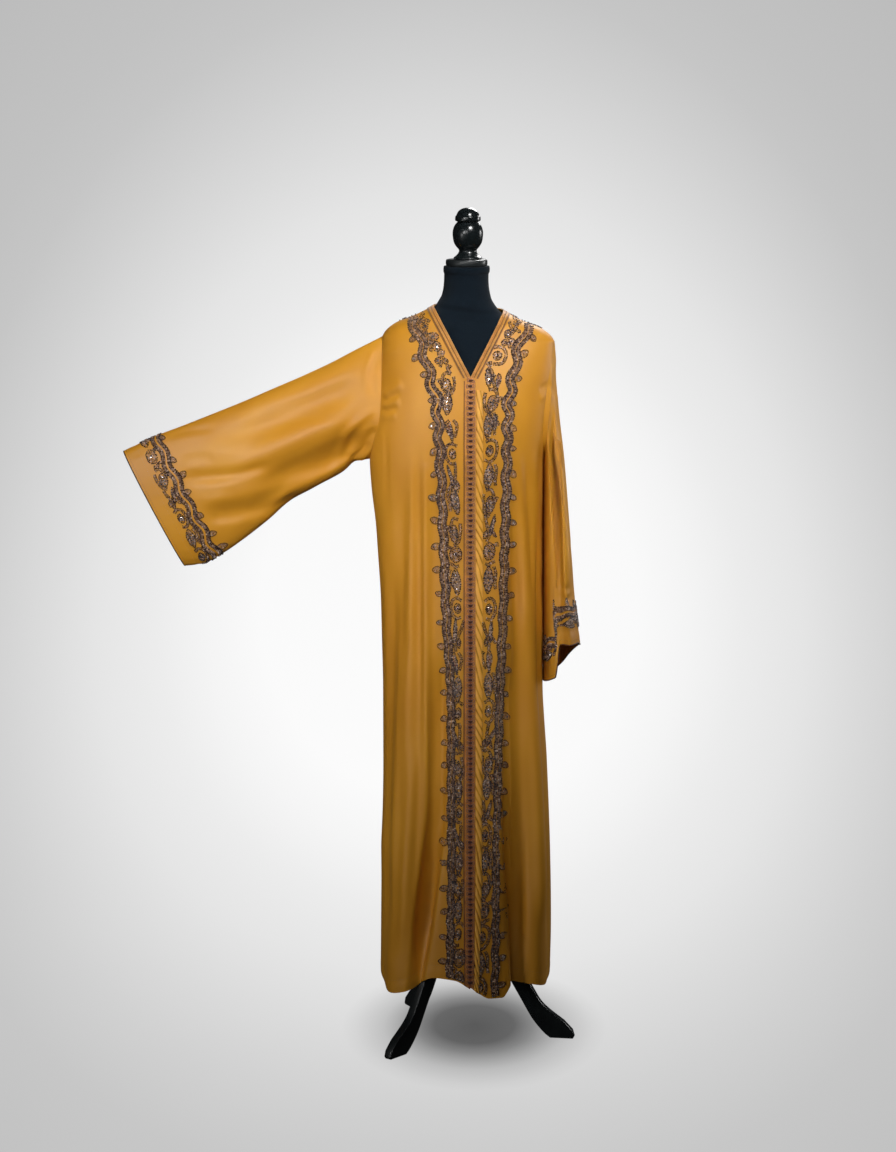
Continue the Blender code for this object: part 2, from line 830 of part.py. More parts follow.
def cloth(name, sheet, material):
    return wall(name, sheet.points, sheet.moved(-CLOTH), material, sheet.round_about)


def raised(name, sheet, rows, columns, gap, thickness, material, round_about=False):
    """Trim made from a sheet's own points, moved out."""
    spots = [[sheet.at(i, j) for j in columns] for i in rows]
    under = [[point + way * gap for point, way in row] for row in spots]
    over = [[point + way * (gap + thickness) for point, way in row] for row in spots]
    return wall(name, over, under, material, round_about)


def neck_braid(fronts, back, material):
    """Up one side of the V, round the back of the neck and down the other side."""
    def rib(points, ways, gap=NECK_BRAID_GAP):
        return (
            [p + w * gap for p, w in zip(points, ways)],
            [p + w * (gap + BRAID_THICKNESS) for p, w in zip(points, ways)],
        )

    top = len(ROW_KEYS) - 1
    ribs = {RIGHT: [], LEFT: []}
    for side in (RIGHT, LEFT):
        sheet = fronts[side]
        for i in range(V_ROW, top + 1):
            ribs[side].append(rib(sheet.points[i][:3], sheet.outward[i][:3]))
    behind = []
    for j in range(BACK_COLUMNS[0], BACK_COLUMNS[0] + BACK_COLUMNS[1] + 1):
        downwards = range(top, top - BACK_NECK_ROWS, -1)
        line = [back.points[i][j] for i in downwards]
        ways = [back.outward[i][j] for i in downwards]
        distances = (0.0, BRAID_COLUMN / 2, BRAID_COLUMN)
        lengths = [length_of(line[: k + 1]) for k in range(len(line))]
        chosen = []
        for distance in distances:
            k = min(bisect_right(lengths, distance) - 1, len(line) - 2)
            share = (distance - lengths[k]) / (lengths[k + 1] - lengths[k])
            chosen.append(ways[k].lerp(ways[k + 1], share).normalized())
        behind.append(rib(along(line, distances), chosen, NECK_BRAID_GAP_BEHIND))
    path = ribs[RIGHT] + behind + ribs[LEFT][::-1]
    return wall("neck_braid", [over for _, over in path], [under for under, _ in path], material)


def knot_row(fronts, material):
    """Knots and loops in one cord, with a flat back that lies on both front edges."""
    def front_depth(height):
        nearest = 0.0
        for sheet in fronts.values():
            for column in (0, 1):
                line = [sheet.points[i][column] for i in range(V_ROW + 1)]
                for low, high in zip(line, line[1:]):
                    if low.z <= height <= high.z:
                        nearest = min(nearest, mix(low.y, high.y, (height - low.z) / (high.z - low.z)))
        return nearest - TRIM_GAP

    low = max(sheet.points[0][0].z for sheet in fronts.values()) + KNOT_PITCH / 2
    count = int((V_POINT - low) / KNOT_PITCH)
    profile = [math.radians(a) for a in (0, 45, 90, 135, 180)]
    rings = []
    for k in range(2 * count + 1):
        height = low + k * KNOT_PITCH / 2
        half = KNOT_HALF if k % 2 else KNOT_WAIST
        rise = KNOT_HEIGHT * half / KNOT_HALF
        back_y = front_depth(height)
        rings.append(
            [Vector((FRONT_LINE - half * math.cos(a), back_y - rise * math.sin(a), height)) for a in profile]
        )
    return tube("knot_row", rings, material)


def tube(name, rings, material, smooth=True):
    """A closed solid through rings of points, with flat ends."""
    sides = len(rings[0])
    points = [point for ring in rings for point in ring]
    faces = []
    for i in range(len(rings) - 1):
        for j in range(sides):
            a, b = i * sides + j, i * sides + (j + 1) % sides
            faces.append((a, b, b + sides, a + sides))
    faces.append(tuple(range(sides))[::-1])
    faces.append(tuple(range(len(points) - sides, len(points))))
    return add_object(name, points, faces, material, smooth)


def vine(side, sheet, material):
    table = VINE[side]
    start, end = table.rows[0][0], table.rows[-1][0]
    waves = round((end - start) / VINE_WAVE)
    steps = waves * VINE_STEPS
    over, under = [], []
    for k in range(steps + 1):
        height = mix(start, end, k / steps)
        swing = VINE_SWING * math.sin(2 * math.pi * k / VINE_STEPS)
        middle = table.read("across", height) + swing
        pair = []
        for edge in (middle - VINE_WIDTH / 2, middle, middle + VINE_WIDTH / 2):
            pair.append(sheet.at(*sheet.place(edge, height)))
        under.append([point + way * VINE_GAP for point, way in pair])
        over.append([point + way * (VINE_GAP + VINE_THICKNESS) for point, way in pair])
    return wall("vine_" + side_name(side), over, under, material)


def turned(name, outline, material, centre_x):
    """A round solid from heights and radii."""
    rings = []
    for height, radius in outline:
        rings.append(
            [
                Vector((centre_x + radius * math.cos(a), radius * math.sin(a), height))
                for a in (2 * math.pi * k / ROUND_SIDES for k in range(ROUND_SIDES))
            ]
        )
    return tube(name, rings, material)


def form_torso(material):
    """The padded torso and neck, one smooth closed solid."""
    rings = []
    power = 2 / SQUARENESS
    for height, half, front, back, across in FORM.rows:
        ring = []
        for k in range(FORM_SIDES):
            angle = 2 * math.pi * k / FORM_SIDES
            c, s = math.cos(angle), math.sin(angle)
            depth = back if s > 0 else front
            x = half * math.copysign(abs(c) ** power, c)
            y = depth * math.copysign(abs(s) ** power, s)
            ring.append(Vector((across + x, y, height + lean(x, height))))
        rings.append(ring)
    return tube("form_torso", rings, material)


def leg(name, turn, material):
    """A sabre-shaped plank that stands out from the hub, with a flat foot."""
    outline = list(LEG_UNDER) + list(LEG_TOE)[::-1] + list(LEG_UPPER)[::-1]
    half = LEG_THICKNESS / 2
    shape = bmesh.new()
    face = shape.faces.new([shape.verts.new((r, -half, z)) for r, z in outline])
    grown = bmesh.ops.extrude_face_region(shape, geom=[face])
    top = [item for item in grown["geom"] if isinstance(item, bmesh.types.BMVert)]
    bmesh.ops.translate(shape, verts=top, vec=(0, LEG_THICKNESS, 0))
    bmesh.ops.recalc_face_normals(shape, faces=shape.faces)
    mesh = bpy.data.meshes.new(name)
    shape.to_mesh(mesh)
    shape.free()
    mesh.materials.append(material)
    solid = bpy.data.objects.new(name, mesh)
    bpy.context.scene.collection.objects.link(solid)
    bevel = solid.modifiers.new("edges", "BEVEL")
    bevel.width = LEG_BEVEL
    bevel.segments = 1
    bevel.limit_method = "ANGLE"
    bevel.angle_limit = math.radians(BEVEL_ANGLE)
    solid.location.x = POLE_X
    solid.rotation_euler.z = math.radians(turn)
    return solid


def lowest_and_highest(solids):
    bpy.context.view_layer.update()
    corners = [solid.matrix_world @ Vector(corner) for solid in solids for corner in solid.bound_box]
    low = [min(corner[axis] for corner in corners) for axis in range(3)]
    high = [max(corner[axis] for corner in corners) for axis in range(3)]
    return low, high


def main():
    for old in list(bpy.data.objects):
        bpy.data.objects.remove(old)
    satin = finish("gold satin", (0.55, 0.29, 0.05), 0.48)
    braid = finish("flat braid", (0.42, 0.20, 0.05), 0.62)
    rust = finish("rust cord", (0.25, 0.06, 0.025), 0.60)
    beads = finish("plum beadwork", (0.10, 0.05, 0.06), 0.30, 0.25)
    jersey = finish("navy jersey", (0.010, 0.014, 0.022), 0.85)
    painted = finish("black painted wood", (0.010, 0.012, 0.013), 0.32)

    fronts = {side: front_sheet(side) for side in (RIGHT, LEFT)}
    back = back_sheet()
    sleeves = {side: sleeve_sheet(side, fronts[side], back) for side in (RIGHT, LEFT)}

    solids = [cloth("back", back, satin), neck_braid(fronts, back, braid), knot_row(fronts, rust)]
    for side in (RIGHT, LEFT):
        name = side_name(side)
        solids.append(cloth("front_" + name, fronts[side], satin))
        solids.append(cloth("sleeve_" + name, sleeves[side], satin))
        edge_rows = [*range(V_ROW), V_ROW - EDGE_BRAID_STOP]
        solids.append(
            raised("edge_braid_" + name, fronts[side], edge_rows, (1, 2), TRIM_GAP, BRAID_THICKNESS, braid)
        )
        solids.append(
            raised(
                "cuff_band_" + name,
                sleeves[side],
                CUFF_BAND_ROWS,
                range(sleeves[side].columns),
                CUFF_BAND_GAP,
                VINE_THICKNESS,
                beads,
                round_about=True,
            )
        )
        solids.append(vine(side, fronts[side], beads))

    solids.append(form_torso(jersey))
    solids.append(turned("neck_disc", DISC, painted, DISC_X))
    solids.append(turned("finial", FINIAL, painted, FINIAL_X))
    solids.append(turned("pole", POLE, painted, POLE_X))
    solids.append(turned("hub", HUB, painted, POLE_X))
    for name, turn in LEG_TURNS.items():
        solids.append(leg(name, turn, painted))

    low, high = lowest_and_highest(solids)
    stand = bpy.data.objects.new("kaftan_origin", None)
    bpy.context.scene.collection.objects.link(stand)
    stand.location = (-(low[0] + high[0]) / 2, -(low[1] + high[1]) / 2, -low[2])
    for solid in solids:
        solid.parent = stand


main()
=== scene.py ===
"""The looks of a gold satin kaftan with bead-worked fronts and cuffs, on a limbless dress form.

The wearer's right is -X and their left is +X, and the front faces -Y. Every size is in metres.
The tables of the cut are written from the middle of the neck, and each piece is moved to its
place in the frame when its mesh is made.
"""

import math

import bmesh
import bpy
import numpy as np
from bpy.props import FloatProperty, FloatVectorProperty, PointerProperty
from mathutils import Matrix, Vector


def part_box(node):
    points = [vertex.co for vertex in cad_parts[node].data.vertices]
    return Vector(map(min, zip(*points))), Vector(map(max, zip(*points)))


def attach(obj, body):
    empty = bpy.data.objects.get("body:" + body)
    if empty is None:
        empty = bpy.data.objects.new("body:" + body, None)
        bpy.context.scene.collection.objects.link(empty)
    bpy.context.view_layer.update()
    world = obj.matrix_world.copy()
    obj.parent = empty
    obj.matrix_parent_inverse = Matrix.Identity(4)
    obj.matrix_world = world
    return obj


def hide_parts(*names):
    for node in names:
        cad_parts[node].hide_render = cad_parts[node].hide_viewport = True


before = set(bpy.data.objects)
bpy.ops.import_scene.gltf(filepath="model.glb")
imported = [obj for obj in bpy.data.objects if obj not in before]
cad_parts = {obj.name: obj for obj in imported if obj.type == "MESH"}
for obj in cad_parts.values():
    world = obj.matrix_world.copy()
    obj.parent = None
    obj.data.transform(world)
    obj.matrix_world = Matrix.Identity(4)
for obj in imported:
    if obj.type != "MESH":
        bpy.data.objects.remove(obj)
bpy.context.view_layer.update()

bl_info = {
    "name": "Gold satin kaftan",
    "version": (1, 0, 0),
    "blender": (4, 5, 0),
    "location": "3D View > Sidebar > Kaftan",
    "description": "Sews a bead-worked satin kaftan, its dress form and a studio around the packed frame",
    "category": "Object",
}

# The gap left at a seam, and how square the body and the form are in section (2 is round)
SEAM_GAP = 0.00002
SQUARENESS = 2.2

# Heights of the cut
HEM = 0.147
UNDERARM = 1.259
V_POINT = 1.4426
NECK_HALF = 0.0725
NECK_HEIGHT = 1.578
SHOULDER_TIP = 0.181
SHOULDER_TIP_HEIGHT = 1.513
FRONT_LINE = 0.004

# The shoulders lean: the wearer's right one is higher
LEAN = 0.0062
LEAN_REACH = 0.05
LEAN_START = 1.40
LEAN_FULL = 1.54
LEAN_END = 1.585
LEAN_GONE = 1.625

# Front edges
KNOT_COLUMN = 0.0068
BRAID_COLUMN = 0.0145
NECK_BRAID = 0.0162
KNOT_PITCH = 0.0112

# Stand
POLE_X = -0.013
POLE_FOOT = 0.2773
LEG_THICKNESS = 0.021
LEG_TURNS = {"leg_left": -9.0, "leg_behind": 119.0, "leg_front": 230.0}

RIGHT, LEFT = -1, 1
FRONT, BACK = -1, 1


def rows_of(text):
    """Rows of numbers written as text, with a comma between two rows."""
    return np.array([row.split() for row in text.split(",")], float)


class Table:
    """Rows of sizes with named columns, read at any place along the first column as a smooth curve."""

    def __init__(self, columns, rows):
        self.columns = columns.split()
        self.rows = rows_of(rows)

    def read(self, column, place):
        places = self.rows[:, 0]
        values = self.rows[:, self.columns.index(column)]
        spans = np.diff(places)
        rises = np.diff(values) / spans
        slopes = np.zeros(len(values))
        slopes[0], slopes[-1] = rises[0], rises[-1]
        before, after = rises[:-1], rises[1:]
        steady = before * after > 0
        slopes[1:-1][steady] = 2 * (before * after)[steady] / (before + after)[steady]
        place = np.clip(place, places[0], places[-1])
        i = np.clip(np.searchsorted(places, place, side="right") - 1, 0, len(spans) - 1)
        t = (place - places[i]) / spans[i]
        start, end, rise = slopes[i], slopes[i + 1], rises[i]
        bend = (3 * rise - 2 * start - end) * t**2 + (start + end - 2 * rise) * t**3
        return values[i] + spans[i] * (start * t + bend)


# Half widths and depths of the kaftan's body, level by level
BODY = Table(
    "height right left front back",
    """.147 .189 .178 .152 .146, .25 .188 .18 .147 .141, .41 .186 .177 .138 .132, .61 .182 .169 .132 .129,
    .77 .182 .159 .128 .127, .87 .184 .159 .126 .126, .96 .186 .159 .122 .122, 1.06 .192 .159 .116 .112,
    1.12 .196 .159 .115 .106, 1.2 .205 .159 .121 .103, 1.259 .2085 .16 .126 .104, 1.3 .207 .166 .127 .106,
    1.345 .203 .172 .125 .108, 1.385 .198 .176 .12 .109, 1.443 .19 .1805 .108 .106, 1.49 .184 .1815 .092 .096,
    1.513 .181 .181 .08 .086, 1.5245 .174 .174 .074 .078, 1.5403 .154 .154 .068 .071, 1.5585 .11 .11 .063 .066,
    1.578 .0725 .0725 .059 .062""")

# The shoulder seam, from the neck to the sleeve
SHOULDER = Table("across height", ".0725 1.578, .11 1.5585, .154 1.5403, .174 1.5245, .181 1.513")

# The armhole seen from the front, on the wearer's right and left
ARMHOLE = Table(
    "height right left",
    """1.259 .2085 .16, 1.305 .1986 .156, 1.345 .188 .157, 1.385 .184 .1605, 1.417 .183 .1645, 1.46 .182 .171,
    1.49 .1812 .177, 1.513 .181 .181""")

# How far each part of the hem hangs below its level, along each panel
HEM_DROP = {
    RIGHT: Table("along drop", "0 .004, .12 -.014, .28 -.018, .4 -.004, .52 .02, .66 .028, .85 .01, 1 0"),
    LEFT: Table("along drop", "0 0, .07 .014, .16 .026, .27 .026, .36 0, .5 .004, .7 .014, 1 0"),
    0: Table("along drop", "0 0, .2 .012, .4 -.004, .55 .01, .8 .006, 1 0"),
}
HEM_BLEND = 0.30

# The large folds of the fronts, measured from the front edge; a depth below zero stands out.
# Columns: low_place, high_place, inner, outer, depth, start, full, end
FOLD_FADE = 0.15
FRONT_FOLDS = {
    RIGHT: rows_of(
        """.12 .062 .024 .027 .024 .58 .17 0, .12 .062 .024 .027 .018 .58 .33 .225, .178 .15 .05 .05 -.01 .8 .25 0,
        .092 .092 .018 .022 -.005 1.33 1.1 .5, .14 .122 .022 .026 -.006 1.25 .95 .3,
        .2 .175 .026 .03 .006 1.15 .9 .3"""),
    LEFT: rows_of(""".104 .09 .017 .055 .032 .66 .17 0, .165 .14 .045 .05 -.01 .75 .25 0,
        .128 .098 .02 .026 .008 1.33 .95 .35, .168 .128 .02 .03 -.007 1.3 .95 .3,
        .2 .16 .022 .026 .007 1.25 .9 .3"""),
}

# Folds of the back, measured from the middle of the back towards the wearer's left
BACK_FOLDS = rows_of(
    """-.18 -.12 .04 .05 .022 1.15 .25 0, -.09 -.068 .035 .035 -.013 1.1 .4 0, -.018 -.004 .038 .04 .025 1 .2 0,
    .06 .05 .035 .04 -.012 1.1 .35 0, .13 .095 .04 .045 .024 1.15 .25 0""")

# Sleeve sections: the upper and lower edge as seen from the front, and the half depth
SLEEVE = {
    RIGHT: Table(
        "along top_x top_z low_x low_z depth back_by",
        """0 .181 1.513 .2085 1.259 .052 0, .1 .24 1.4865 .236 1.254 .05 .004, .2 .293 1.46 .268 1.229 .048 .008,
        .31 .353 1.432 .322 1.199 .046 .012, .42 .4146 1.4053 .376 1.167 .044 .016,
        .53 .475 1.379 .429 1.123 .042 .018, .64 .5354 1.3545 .48 1.083 .04 .02,
        .76 .602 1.328 .5265 1.051 .038 .022, .88 .665 1.304 .566 1.031 .036 .022,
        1 .731 1.273 .604 1.0264 .033 .022"""),
    LEFT: Table(
        "along top_x top_z low_x low_z depth back_by",
        """0 .181 1.513 .16 1.259 .052 0, .08 .1862 1.457 .169 1.247 .058 .004,
        .16 .1905 1.4 .1725 1.222 .066 .008, .28 .1965 1.32 .1735 1.17 .078 .012,
        .42 .204 1.225 .1735 1.105 .088 .016, .56 .2125 1.125 .1715 1.03 .096 .018,
        .7 .222 1.035 .169 .955 .102 .02, .84 .2285 .95 .1675 .88 .104 .02, .93 .235 .898 .167 .828 .104 .02,
        1 .24 .858 .1675 .782 .104 .02"""),
}

# The large sleeve folds: where they lie round the sleeve in degrees (0 under the arm, 90 in front).
# Columns: near_angle, far_angle, half_angle, depth, near, far
SLEEVE_FOLD_RISE = 0.12
SLEEVE_FOLD_FADE = 0.20
SLEEVE_FOLDS = {
    RIGHT: rows_of("""48 62 24 .012 .02 .62, 78 96 22 -.007 .1 .8, 112 118 26 .008 .05 .7, 255 285 26 .009 .05 .75,
        318 300 24 -.007 .05 .6"""),
    LEFT: rows_of("96 84 26 .016 .15 1.3, 140 128 22 -.005 .1 .9, 262 272 30 .014 .2 1.2, 215 225 24 -.006 .2 1.1"),
}
CUFF_DROP_BACK = {RIGHT: 0.004, LEFT: 0.020}
CUFF_DROP_START = 0.7
ARMHOLE_BLEND = 0.22

# The middle of each vine as seen from the front, from the hem to the shoulder
VINE = {
    RIGHT: Table(
        "height across",
        ".135 .038, .175 .039, .4 .036, .75 .036, .95 .047, 1.17 .055, 1.385 .066, 1.443 .08, 1.5 .096, 1.56 .119"),
    LEFT: Table(
        "height across",
        """.135 .056, .175 .057, .4 .059, .75 .065, .95 .072, 1.17 .077, 1.385 .082, 1.443 .092, 1.5 .104,
        1.552 .131"""),
}

# Dress form, level by level; its neck stands a little to the wearer's right
FORM = Table(
    "height half front back across",
    """.862 .12 .08 .082 0, .872 .134 .094 .096 0, .93 .145 .104 .107 0, 1 .144 .102 .106 0, 1.08 .128 .09 .092 0,
    1.15 .118 .084 .08 0, 1.24 .126 .096 .08 0, 1.32 .136 .108 .086 0, 1.38 .138 .102 .09 0,
    1.44 .148 .09 .088 0, 1.48 .162 .077 .08 0, 1.51 .169 .069 .074 0, 1.5246 .1655 .064 .068 0,
    1.5371 .152 .06 .064 0, 1.5471 .128 .056 .06 0, 1.5551 .108 .053 .057 0, 1.5645 .087 .051 .055 -.0005,
    1.5735 .07 .05 .054 -.0015, 1.583 .063 .053 .0545 -.003, 1.593 .0565 .0505 .0515 -.004,
    1.603 .0516 .0485 .049 -.0045, 1.624 .0475 .047 .047 -.0048, 1.648 .0466 .0466 .0466 -.0045,
    1.653 .0482 .0482 .0482 -.0042, 1.66 .0487 .0487 .0487 -.004, 1.6655 .0478 .0478 .0478 -.004""")

# Turned wood, from the bottom up: height and radius
DISC_X = -0.0040
FINIAL_X = -0.0015
DISC = rows_of("1.666 .04, 1.6672 .043, 1.67 .0437, 1.676 .0437, 1.6792 .0425, 1.68 .04")
FINIAL = rows_of("""1.6803 .029, 1.6835 .0297, 1.6885 .0235, 1.695 .019, 1.7 .0192, 1.707 .025, 1.717 .03, 1.735 .032,
    1.748 .029, 1.756 .0235, 1.7585 .0222, 1.76 .0262, 1.764 .0268, 1.769 .0262, 1.771 .0245, 1.779 .0205,
    1.7845 .0135, 1.787 .005""")
HUB = rows_of(".18 .02, .187 .029, .258 .029, .269 .026, .277 .02")
POLE = rows_of(".2773 .0135, .8617 .0135")

# The leg's outline seen from the side: distance from the pole and height
LEG_UNDER = rows_of(".0293 .201, .06 .192, .085 .166, .104 .131, .129 .087, .155 .042, .18 .012, .195 0")
LEG_TOE = rows_of(".244 0, .247 .0045, .243 .018")
LEG_UPPER = rows_of(".224 .038, .194 .06, .174 .079, .158 .105, .143 .132, .123 .17, .095 .213, .06 .239, .0293 .245")

# Rows and columns of the fine cloth
ROW_SAMPLES = 240
V_SHARE = (V_POINT - UNDERARM) / (NECK_HEIGHT - UNDERARM)
SKIRT_ROWS = 172
YOKE_ROWS_LOW = 32
YOKE_ROWS_HIGH = 30
FRONT_COLUMNS = 54
BACK_COLUMNS = (30, 40, 30)
SLEEVE_ROWS = 98


def mix(a, b, share):
    return a + (b - a) * share


def ease(t):
    """Rises softly from 0 to 1."""
    t = np.clip(t, 0.0, 1.0)
    return t * t * (3 - 2 * t)


def hump(t):
    """1 in the middle and 0 from -1 and 1 outwards."""
    return np.where(np.abs(t) < 1, 0.5 * (1 + np.cos(np.pi * t)), 0.0)


def unit(v):
    return v / np.maximum(np.linalg.norm(v, axis=-1, keepdims=True), 1e-12)


def side_name(side):
    return "right" if side == RIGHT else "left"


def lean(across, height):
    """How far a point near the shoulders lies above its place on a level figure."""
    grown = ease((height - LEAN_START) / (LEAN_FULL - LEAN_START))
    gone = ease((height - LEAN_END) / (LEAN_GONE - LEAN_END))
    return -LEAN * across / np.hypot(across, LEAN_REACH) * grown * (1 - gone)


def half_width(height, across):
    return np.where(np.asarray(across) < 0, BODY.read("right", height), BODY.read("left", height))


def body_depth(face, across, height):
    """How far in front or behind the body's surface lies, seen from the front."""
    ratio = np.minimum(1.0, np.abs(across) / half_width(height, across))
    reach = BODY.read("front" if face == FRONT else "back", height)
    return face * reach * (1 - ratio**SQUARENESS) ** (1 / SQUARENESS)


def distances_along(points):
    steps = np.linalg.norm(np.diff(points, axis=0), axis=1)
    return np.concatenate([[0.0], np.cumsum(steps)])


def along(curve, distances):
    """Points on a polyline at these distances from its start."""
    lengths = distances_along(curve)
    return np.stack([np.interp(distances, lengths, curve[:, axis]) for axis in range(curve.shape[1])], -1)


def fold_offset(folds, places, height):
    """How far the large folds push the cloth in at places across and a height."""
    offset = np.zeros(len(places))
    for low_place, high_place, inner, outer, depth, start, full, end in folds:
        if height > start:
            continue
        away = places - mix(high_place, low_place, (start - height) / (start - HEM))
        spread = hump(away / np.where(away > 0, outer, inner))
        grown = ease((start - height) / (start - full))
        faded = ease((height - end) / FOLD_FADE + 0.5) if end else 1.0
        offset += depth * spread * grown * faded
    return offset


def front_row(side, key):
    """A dense curve across one front. A key below zero is a level of the skirt, one from 0 to 1 a share
    of the way from underarm to shoulder."""
    t = np.sin(np.linspace(0, math.pi / 2, ROW_SAMPLES + 1))
    if key < 0:
        end = side * half_width(-key, side)
        edge = FRONT_LINE
        z = np.full(len(t), -key)
    else:
        height = mix(UNDERARM, NECK_HEIGHT, key)
        end = side * ARMHOLE.read(side_name(side), mix(UNDERARM, SHOULDER_TIP_HEIGHT, key))
        open_share = max(0.0, (height - V_POINT) / (NECK_HEIGHT - V_POINT))
        edge = mix(FRONT_LINE, side * NECK_HALF, open_share)
        z = mix(UNDERARM, SHOULDER.read("height", mix(NECK_HALF, SHOULDER_TIP, t)), key)
    x = mix(edge, end, t)
    y = np.zeros(len(t)) if key == 1.0 else body_depth(FRONT, x, z)
    return np.stack([x, y, z + lean(x, z)], -1)


def back_row(key):
    """A dense curve across the back, from the wearer's right to their left."""
    t = np.sin(np.linspace(-math.pi / 2, math.pi / 2, 2 * ROW_SAMPLES + 1))
    if key < 0:
        start, end = -half_width(-key, RIGHT), half_width(-key, LEFT)
        z = np.full(len(t), -key)
    else:
        end_height = mix(UNDERARM, SHOULDER_TIP_HEIGHT, key)
        start, end = -ARMHOLE.read("right", end_height), ARMHOLE.read("left", end_height)
        z = mix(UNDERARM, SHOULDER.read("height", np.maximum(NECK_HALF, np.abs(t) * SHOULDER_TIP)), key)
    x = mix(start, end, (t + 1) / 2)
    y = body_depth(BACK, x, z)
    if key == 1.0:
        y = np.where(np.abs(x) >= NECK_HALF, 0.0, y)
    return np.stack([x, y, z + lean(x, z)], -1)


SKIRT_KEYS = -np.linspace(HEM, UNDERARM, SKIRT_ROWS)
YOKE_KEYS = np.concatenate(
    [
        np.linspace(0, V_SHARE, YOKE_ROWS_LOW + 1)[1:],
        mix(V_SHARE, 1.0, np.sin(np.linspace(0, math.pi / 2, YOKE_ROWS_HIGH + 1))[1:]),
    ]
)
YOKE_KEYS[-1] = 1.0
ROW_KEYS = np.concatenate([SKIRT_KEYS, YOKE_KEYS])
UNDERARM_ROW = SKIRT_ROWS - 1
V_ROW = UNDERARM_ROW + YOKE_ROWS_LOW
TOP_ROW = len(ROW_KEYS) - 1


